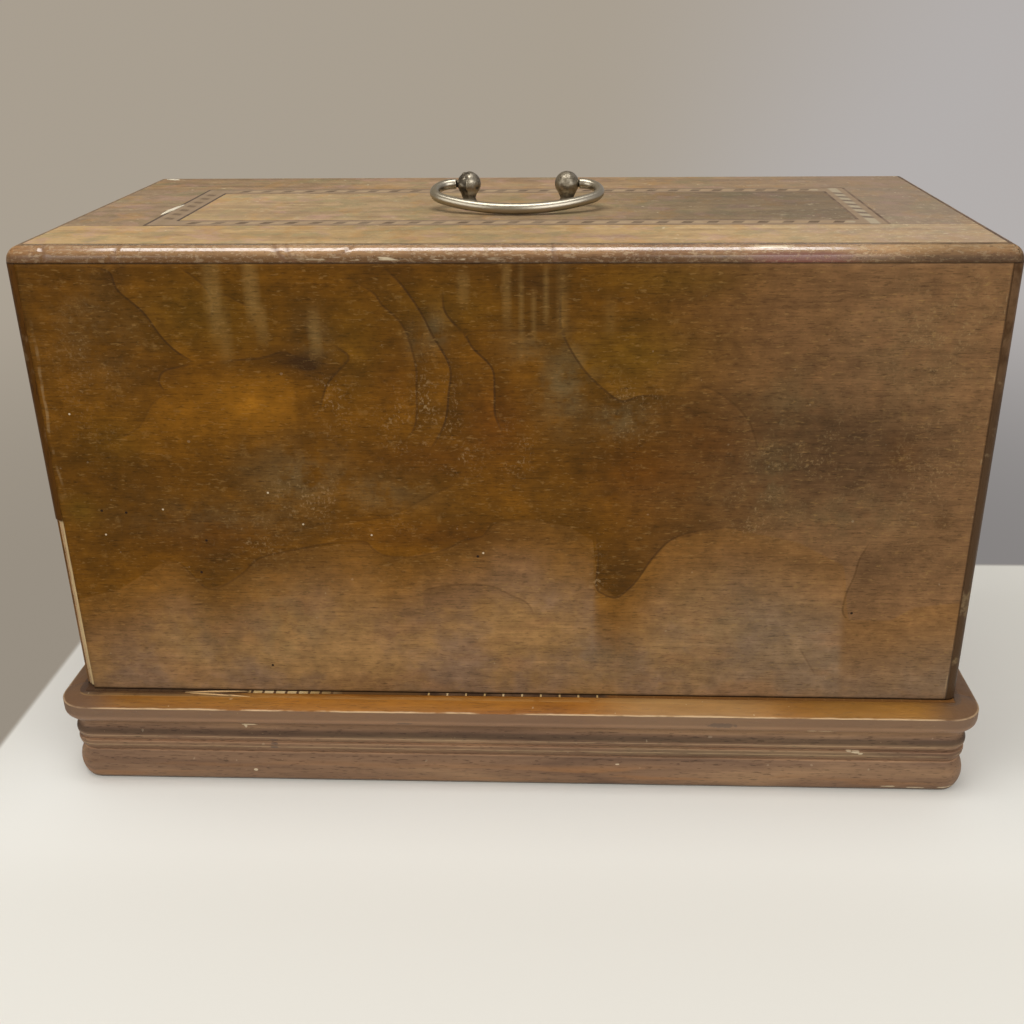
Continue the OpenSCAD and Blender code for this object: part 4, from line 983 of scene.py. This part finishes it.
def left_and_right_posts():
    """The handle posts with a hollow waist, the left one's ball flaked and pitted on its upper left."""
    heights, radii = zip(*POST_WAIST)
    for node in ("left_handle_post", "right_handle_post"):
        low, high = (Vector(corner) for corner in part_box(node))
        axis_x = (low.x + high.x) / 2
        ball = Vector((axis_x, 0, high.z - BALL_MIDDLE_DROP))
        bm = merged(node)
        bm.normal_update()
        flaked = []
        for vert in bm.verts:
            height = (vert.co.z - TOP_Z) / MM
            out = Vector((vert.co.x - axis_x, vert.co.y, 0))
            if heights[0] < height < heights[-1] and out.length > POST_CORE:
                vert.co -= out.normalized() * max(0.0, out.length - np.interp(height, heights, radii) * MM)
        bm.normal_update()
        for vert in bm.verts:
            away = (vert.co - ball).length
            on_ball = 1.0 if BALL_FACE[0] < away < BALL_FACE[1] else 0.0
            side = noise.noise(vert.co * 420) - 0.25 * ((vert.co.x - axis_x) / (4 * MM)) + 0.05
            flake = on_ball * max(0.0, min(1.0, side * 4)) if node.startswith("left") else 0.0
            vert.co -= vert.normal * flake * FLAKE_DEPTH_MM * MM
            flaked.append(flake)
        piece = new_piece(f"worn_{node}", bm, "post", "cover", node, crease=math.radians(50))
        paint(piece.data, "flaked", flaked)


def bail():
    new_piece("worn_bail_handle", merged("bail_handle"), "rod", "bail", "bail_handle",
              crease=math.radians(60))


# Lines of the figure on the front, each a list of (x, z) in millimetres, its strength and the
# side, left (1) or right (-1) of its run, that is shaded
FIGURE_LINES = [
    ([(-204, 295), (-193, 292), (-190, 283), (-179, 272), (-172, 260), (-165, 252), (-156, 246)], 1.0, -1),
    ([(-156, 246), (-170, 243), (-175, 240), (-176, 235), (-173, 231)], 0.8, -1),
    ([(-173, 231), (-182, 224), (-190, 212), (-203, 205)], 0.35, -1),
    ([(-156, 246), (-133, 248), (-122, 249), (-112, 252), (-104, 249), (-92, 246), (-82, 245)], 0.7, -1),
    ([(-160, 296), (-148, 286), (-144, 278), (-146, 268)], 0.6, 1),
    ([(-144, 278), (-138, 281), (-128, 276), (-112, 273)], 0.5, 1),
    ([(-88, 257), (-79, 250), (-82, 245), (-91, 235), (-97, 218)], 0.8, -1),
    ([(-80, 291), (-65, 282), (-61, 276), (-53, 268), (-49, 260), (-46, 246), (-46, 235), (-48, 213),
      (-58, 201)], 0.7, 1),
    ([(-61, 296), (-51, 286), (-42, 272), (-37, 261), (-29, 245), (-30, 231), (-33, 214), (-43, 197)],
     1.0, 1),
    ([(-31, 284), (-30, 272), (-21, 261), (-17, 254), (-8, 244), (-7, 232), (-7, 220), (-3, 208)], 1.0, 1),
    ([(27, 288), (26, 276), (27, 262), (37, 244), (50, 231), (57, 227), (68, 230), (90, 229)], 0.9, -1),
    ([(92, 232), (99, 234), (112, 226), (121, 215), (126, 200)], 0.5, 1),
    ([(-125, 150), (-100, 158), (-80, 160), (-60, 165), (-40, 176), (-20, 185)], 0.35, 1),
    ([(-53, 116), (-42, 121), (-25, 123), (-11, 122), (-1, 117), (8, 112), (12, 104)], 0.5, -1),
    ([(188, 152), (183, 141), (181, 130), (178, 120), (177, 109), (181, 103)], 0.55, 1),
    ([(156, 86), (166, 69)], 0.3, 1),
    ([(-24, 263), (78, 263)], 0.40, 1),
    ([(-205, 134), (-186, 136), (-179, 134), (-174, 128), (-166, 119), (-157, 121), (-145, 129),
      (-135, 138), (-111, 144), (-91, 148), (-78, 148), (-74, 144), (-68, 140), (-57, 139), (-44, 141),
      (-33, 145), (-24, 150), (-15, 152), (-8, 160), (10, 162), (26, 159)], 0.52, -1),
    ([(44, 158), (46, 140), (45, 123), (49, 118), (56, 116), (62, 121), (67, 127), (74, 139), (83, 150),
      (94, 155), (112, 158)], 0.8, 1),
]

# The border between the dark upper wood and the paler wood at the foot, left to right
PALE_BORDER = [(-245, 110), (-215, 118), (-186, 136), (-179, 134), (-174, 128), (-166, 119), (-157, 121),
               (-145, 129), (-135, 138), (-111, 144), (-78, 148), (-68, 140), (-57, 139), (-33, 145),
               (-15, 152), (-8, 160), (10, 162), (30, 158), (43, 150), (46, 124), (56, 116), (67, 127),
               (83, 150), (112, 158), (150, 150), (176, 136), (180, 104), (203, 104), (215, 112),
               (245, 116)]

# Soft places on the front: (x, z, half width, half height, strength), in millimetres
SOFT_PLACES = {
    "warm": [(-128, 224, 23, 15, 1.0), (-160, 216, 40, 14, 0.45), (-90, 268, 18, 14, 0.35),
             (62, 252, 34, 13, 0.35), (-60, 285, 26, 10, 0.35), (60, 142, 34, 8, 0.3)],
    "deep": [(165, 202, 62, 38, 1.25), (-150, 190, 60, 16, 0.45), (-215, 190, 22, 30, 0.4),
             (100, 190, 40, 20, 0.35),
             (30, 196, 60, 10, 0.3), (205, 150, 26, 22, 0.4), (-60, 190, 60, 12, 0.3),
             (192, 130, 11, 18, 0.5)],
    "red": [(-7, 214, 17, 22, 0.9), (69, 185, 26, 20, 0.8), (-36, 196, 34, 9, 0.6),
            (-160, 152, 36, 12, 0.5),
            (197, 199, 9, 12, 0.45), (100, 205, 22, 14, 0.5), (-60, 238, 12, 14, 0.4),
            (-40, 152, 44, 7, 0.5),
            (-145, 245, 60, 8, 0.2)],
    "olive": [(62, 250, 34, 18, 0.8), (-24, 275, 34, 12, 0.4), (-150, 270, 30, 20, 0.5),
              (80, 288, 36, 8, 0.6),
              (-228, 165, 9, 8, 0.9), (-76, 255, 14, 24, 0.4), (-205, 205, 18, 14, 0.4)],
    "bloom": [(-112, 186, 26, 18, 0.7), (28, 236, 12, 22, 0.9), (56, 218, 13, 8, 0.9),
              (-35, 263, 6, 9, 0.9),
              (135, 188, 14, 26, 0.7), (-45, 258, 5, 8, 0.6), (143, 225, 22, 18, 0.55),
              (-96, 258, 8, 12, 0.6),
              (-70, 176, 26, 10, 0.6), (-126, 96, 22, 26, 0.6), (50, 76, 24, 16, 0.4),
              (200, 250, 34, 40, 0.35),
              (-170, 88, 30, 24, 0.35), (10, 255, 12, 10, 0.5), (170, 165, 40, 14, 0.5),
              (90, 176, 50, 10, 0.15),
              (-205, 262, 22, 26, 0.3), (120, 100, 40, 30, 0.35), (-150, 162, 50, 10, 0.4)],
    "stain": [(-104, 247.5, 13, 4.4, 1.6), (-100, 245, 6, 2.8, 2.4), (-92, 242.5, 15, 4.2, 0.9),
              (-110, 251, 8, 3, 0.6), (12, 286, 16, 13, 0.75),
              (22, 293, 9, 5, 0.6), (-8, 292, 20, 6, 0.5), (-203, 262, 20, 26, 0.30),
              (-190, 290, 7, 7, 0.7),
              (58, 136, 9, 16, 0.55), (223, 162, 7, 5, 0.8), (194, 124, 12, 20, 0.25),
              (-172, 240, 9, 6, 0.5),
              (-162, 140, 14, 12, 0.45), (100, 222, 24, 8, 0.35), (216, 150, 18, 10, 0.25),
              (-100, 205, 22, 16, 0.25),
              (-30, 150, 34, 7, 0.35), (-195, 180, 22, 16, 0.2), (-60, 292, 20, 5, 0.4),
              (175, 285, 30, 6, 0.2),
              (-186, 228, 12, 14, 0.3), (-228, 285, 14, 8, 0.25)],
    "drips": [(-143, 280, 4, 22, 0.8), (-140, 262, 3.5, 16, 0.5), (-124, 282, 3.5, 16, 0.9),
              (-121, 266, 3, 10, 0.6),
              (0, 282, 1.4, 16, 0.8), (7, 276, 1.2, 22, 0.6), (13, 270, 1.4, 12, 0.7),
              (19, 280, 1.6, 14, 0.8),
              (27, 278, 2.2, 18, 0.6), (-21, 284, 3, 8, 0.6), (-95, 262, 2.5, 12, 0.6),
              (50, 270, 3, 10, 0.3)],
    "crazed": [(-88, 225, 9, 20, 0.8), (-42, 224, 7, 26, 1.0), (-56, 212, 9, 18, 1.0),
               (-30, 222, 8, 22, 0.7),
               (-26, 196, 12, 10, 0.9), (4, 200, 8, 14, 1.0), (62, 222, 20, 16, 0.8), (46, 128, 4, 14, 1.0),
               (-140, 150, 22, 16, 0.7), (-105, 172, 24, 14, 0.8), (150, 195, 40, 30, 0.6),
               (212, 262, 26, 36, 0.7), (214, 190, 22, 50, 0.6), (-214, 240, 20, 44, 0.4),
               (126, 176, 12, 26, 0.9), (-80, 160, 30, 6, 0.6)],
}


def soft_places(x, z, places, power=2):
    """Strength of a list of soft ellipses at the points (x, z), all in millimetres. A higher power
    gives them a firmer edge."""
    total = np.zeros_like(x)
    for cx, cz, half_w, half_h, strength in places:
        reach = abs((x - cx) / half_w) ** power + abs((z - cz) / half_h) ** power
        total = np.maximum(total, strength * np.exp(-reach))
    return total


def smooth_run(points, steps=6):
    """A Catmull-Rom curve through the points."""
    run = [Vector(p) for p in points]
    ends = [2 * run[0] - run[1]] + run + [2 * run[-1] - run[-2]]
    curve = []
    for a, b, c, d in zip(ends, ends[1:], ends[2:], ends[3:]):
        for i in range(steps):
            t = i / steps
            curve.append(0.5 * (2 * b + (c - a) * t + (2 * a - 5 * b + 4 * c - d) * t ** 2
                                + (3 * b - a - 3 * c + d) * t ** 3))
    return curve + [run[-1]]


def line_field(x, z, points, strength, side):
    """For one line of the figure: how far off it is, the same with its side's sign, how deep it shows."""
    nearest = np.full_like(x, 1e6)
    signed = np.full_like(x, 1e6)
    depth = np.zeros_like(x)
    curve = smooth_run(points)
    for i, (a, b) in enumerate(zip(curve, curve[1:])):
        run = b - a
        share = np.clip(((x - a.x) * run.x + (z - a.y) * run.y) / run.length_squared, 0, 1)
        gap_x = x - a.x - share * run.x
        gap_z = z - a.y - share * run.y
        gap = np.hypot(gap_x, gap_z)
        along_line = (i + share) / (len(curve) - 1)
        taper = strength * np.clip(np.sin(math.pi * along_line) * 2.2, 0, 1)
        closer = gap < nearest
        nearest[closer] = gap[closer]
        turn = np.sign(run.x * gap_z - run.y * gap_x)
        signed[closer] = (side * turn * gap)[closer]
        depth[closer] = taper[closer]
    return nearest, signed, depth


def figure_field(x, z):
    """Signed distance to the nearest line of the figure, in millimetres, and how deep it shows. It
    fades out midway between two lines, and away from them."""
    nearest = np.full_like(x, 1e6)
    second = np.full_like(x, 1e6)
    signed = np.full_like(x, 1e6)
    depth = np.zeros_like(x)
    for line in FIGURE_LINES:
        gap, side_gap, shows = line_field(x, z, *line)
        closer = gap < nearest
        second = np.where(closer, nearest, np.minimum(second, gap))
        nearest = np.where(closer, gap, nearest)
        signed = np.where(closer, side_gap, signed)
        depth = np.where(closer, shows, depth)
    apart = np.clip((second - nearest) / (second + nearest) * 2.0, 0, 1)
    return signed, depth * apart * np.clip(1.25 - nearest / 16, 0, 1)


def front_veneer():
    """The front's veneer as a fine sheet, slightly uneven, with its figure painted on it."""
    cell = 2.0 * MM
    width, height = FACE_HIGH.x - FACE_LOW.x, FACE_HIGH.z - FACE_LOW.z
    bm = bmesh.new()
    bmesh.ops.create_grid(bm, x_segments=round(width / cell), y_segments=round(height / cell), size=0.5)
    bmesh.ops.scale(bm, vec=(width, height, 1), verts=bm.verts)
    bmesh.ops.rotate(bm, matrix=Matrix.Rotation(math.pi / 2, 3, "X"), verts=bm.verts)
    middle = (FACE_LOW + FACE_HIGH) / 2
    bmesh.ops.translate(bm, vec=(middle.x, FACE_LOW.y, middle.z), verts=bm.verts)
    for vert in bm.verts:
        wave = noise.noise(vert.co * 22) + 0.5 * noise.noise(vert.co * 60)
        vert.co.y += (0.12 + 0.10 * wave) * MM
    sheet = bm.faces[:]
    rim = [edge for edge in bm.edges if edge.is_boundary]
    back = bmesh.ops.extrude_edge_only(bm, edges=rim)["geom"]
    for vert in (v for v in back if isinstance(v, bmesh.types.BMVert)):
        vert.co.y = FACE_HIGH.y
    bmesh.ops.holes_fill(bm, edges=[edge for edge in bm.edges if edge.is_boundary])
    for face in sheet:
        face.smooth = True
    piece = new_piece("front_veneer_sheet", bm, "front", "cover", "cover_front_veneer")
    places = np.zeros(len(piece.data.vertices) * 3, np.float32)
    piece.data.vertices.foreach_get("co", places)
    x, z = places[0::3].astype(float) / MM, places[2::3].astype(float) / MM
    signed, depth = figure_field(x, z)
    border = np.interp(x, *zip(*PALE_BORDER))
    paint(piece.data, "figure", signed * MM)
    paint(piece.data, "depth", depth)
    paint(piece.data, "below", (border - z) * MM)
    for name, soft in SOFT_PLACES.items():
        strength = soft_places(x, z, soft, 4 if name == "drips" else 2)
        if name == "warm":
            strength = strength * np.clip((-106 - x) / 3 + (x > -80), 0, 1)
        paint(piece.data, name, strength)


front_veneer()
for finish in ("roll", "roll_y"):
    for node in FINISHES[finish]:
        front = node == "front_top_moulding"
        spacing, shape = (1.5 * MM, nick_moulding) if front else (2 * MM, round_corners)
        worn_copy(node, finish, spacing, 0.3 * MM, 0.14 * MM, shape)
for node in FINISHES["corner"]:
    broken = node == "front_left_corner_strip"
    spacing, shape = (1.5 * MM, break_strip) if broken else (8 * MM, None)
    worn_copy(node, "corner", spacing, 0.2 * MM, 0.12 * MM, shape)
for finish in ("ledge", "ledge_y", "moulding", "moulding_y"):
    for node in FINISHES[finish]:
        worn_copy(node, finish, shape=ease_lip if node.endswith("bead_rail") else None)
splinters()
left_and_right_posts()
bail()


# ---- Floor, light and camera ----

WALL_GREY = (0.395, 0.345, 0.280)
WALL_GREY_RIGHT = (0.45, 0.425, 0.415)


# Where the table top fades out at its left and back edges
TABLE_LEFT_EDGE = (-311 * MM, -316 * MM)
TABLE_BACK_EDGE = (157 * MM, 163 * MM)


def ground_grey(s, x, y):
    """The even grey round the table: cooler to the right, darker close by."""
    reach = s.length(x, y)
    right = s.ramp(s.math("DIVIDE", x, reach), -0.02, 0.35)
    ground = s.mix(right, WALL_GREY, WALL_GREY_RIGHT)
    close = s.ramp(reach, 1.3, 0.33)
    return s.shade(ground, s.plus(1.0, s.times(close, s.spread(right, -0.22, -0.48))))


def floor():
    """A pale table top with its left and back edges close to the case, and an even grey ground
    beyond them, seen as far as the eye looks."""
    material, s, shader = new_material("pale_table")
    x, y, _ = s.axes(s.here())
    reach = s.length(x, y)
    far = s.most(s.ramp(x, *TABLE_LEFT_EDGE), s.ramp(y, *TABLE_BACK_EDGE), s.ramp(reach, 0.8, 1.8))
    out_x = s.most(s.math("SUBTRACT", s.math("ABSOLUTE", x), LEDGE_HIGH.x), 0.0)
    out_y = s.most(s.math("SUBTRACT", s.math("ABSOLUTE", y), -LEDGE_LOW.y), 0.0)
    gap = s.length(out_x, out_y)
    # Painted light: the table made paler within 110 mm of the case, lifting the soft shade that the case
    # casts round it
    painted_light_near_case = s.mix(s.ramp_mm(gap, 110, 0), (0.745, 0.72, 0.655), (0.83, 0.81, 0.75))
    s.feed(shader.inputs["Base Color"], s.mix(far, painted_light_near_case, (0.50, 0.45, 0.39)))
    path = s.add("ShaderNodeLightPath", {}).outputs
    seen = s.most(path["Is Camera Ray"], path["Is Glossy Ray"])
    even = s.add("ShaderNodeEmission", {"Color": ground_grey(s, x, y)}).outputs[0]
    blend = s.add("ShaderNodeMixShader", {0: s.times(far, seen), 1: shader.outputs[0], 2: even}).outputs[0]
    s.feed(s.tree.nodes["Material Output"].inputs["Surface"], blend)
    shader.inputs["Roughness"].default_value = 0.6
    shader.inputs["Specular IOR Level"].default_value = 0.2
    bm = bmesh.new()
    bmesh.ops.create_circle(bm, cap_ends=True, segments=96, radius=60.0)
    mesh = bpy.data.meshes.new("table")
    bm.to_mesh(mesh)
    bm.free()
    mesh.materials.append(material)
    table = bpy.data.objects.new("table", mesh)
    bpy.context.scene.collection.objects.link(table)


def soft_lamp(name, place, size, power, target=(0, 0, 0.15)):
    """A rectangular lamp that faces target, or straight down when target is None."""
    lamp = bpy.data.lights.new(name, "AREA")
    lamp.shape = "RECTANGLE"
    lamp.size, lamp.size_y = size
    lamp.energy = power
    holder = bpy.data.objects.new(name, lamp)
    holder.location = place
    if target:
        holder.rotation_euler = (Vector(target) - Vector(place)).to_track_quat("-Z", "Y").to_euler()
    bpy.context.scene.collection.objects.link(holder)


def world_light():
    world = bpy.data.worlds.new("studio")
    world.use_nodes = True
    tree = world.node_tree
    s = Shader(tree)
    background = tree.nodes["Background"]
    path = tree.nodes.new("ShaderNodeLightPath").outputs
    seen = s.most(path["Is Camera Ray"], path["Is Glossy Ray"])
    x, y, _ = s.axes(s.stretch(s.add("ShaderNodeTexCoord", {}).outputs["Generated"], (60, 60, 60)))
    s.feed(background.inputs["Color"], s.mix(seen, (1.0, 0.99, 0.97), ground_grey(s, x, y)))
    s.feed(background.inputs["Strength"], s.spread(seen, 0.46, 1.0))
    bpy.context.scene.world = world


def camera():
    """A long look from in front and above, a little right of the middle."""
    pitch, yaw, roll = 0.4181, -0.0432, -0.0102
    focal, frame_px = 1162.6, 1024
    centre_x, centre_y = 533.5, 507.4
    ahead = Vector((math.sin(yaw) * math.cos(pitch), math.cos(yaw) * math.cos(pitch), -math.sin(pitch)))
    level = Vector((math.cos(yaw), -math.sin(yaw), 0))
    above = level.cross(ahead)
    right = math.cos(roll) * level + math.sin(roll) * above
    up = -math.sin(roll) * level + math.cos(roll) * above
    lens = bpy.data.cameras.new("camera")
    lens.sensor_width = 36
    lens.lens = 36 * focal / frame_px
    lens.shift_x = (frame_px / 2 - centre_x) / frame_px
    lens.shift_y = (centre_y - frame_px / 2) / frame_px
    eye = bpy.data.objects.new("camera", lens)
    turn = Matrix((right, up, -ahead)).transposed().to_4x4()
    eye.matrix_world = Matrix.Translation((0.0358, -0.6675, 0.4145)) @ turn
    bpy.context.scene.collection.objects.link(eye)
    bpy.context.scene.camera = eye


floor()
soft_lamp("ceiling_light", (-0.14, -0.1, 1.5), (1.12, 0.55), 10.2, None)
soft_lamp("window_light", (0.9, -1.5, 1.0), (1.4, 1.2), 13.4)
soft_lamp("room_light", (-1.2, -1.0, 0.8), (1.2, 1.0), 6.7)
world_light()
camera()
bpy.context.scene.view_settings.view_transform = "Standard"
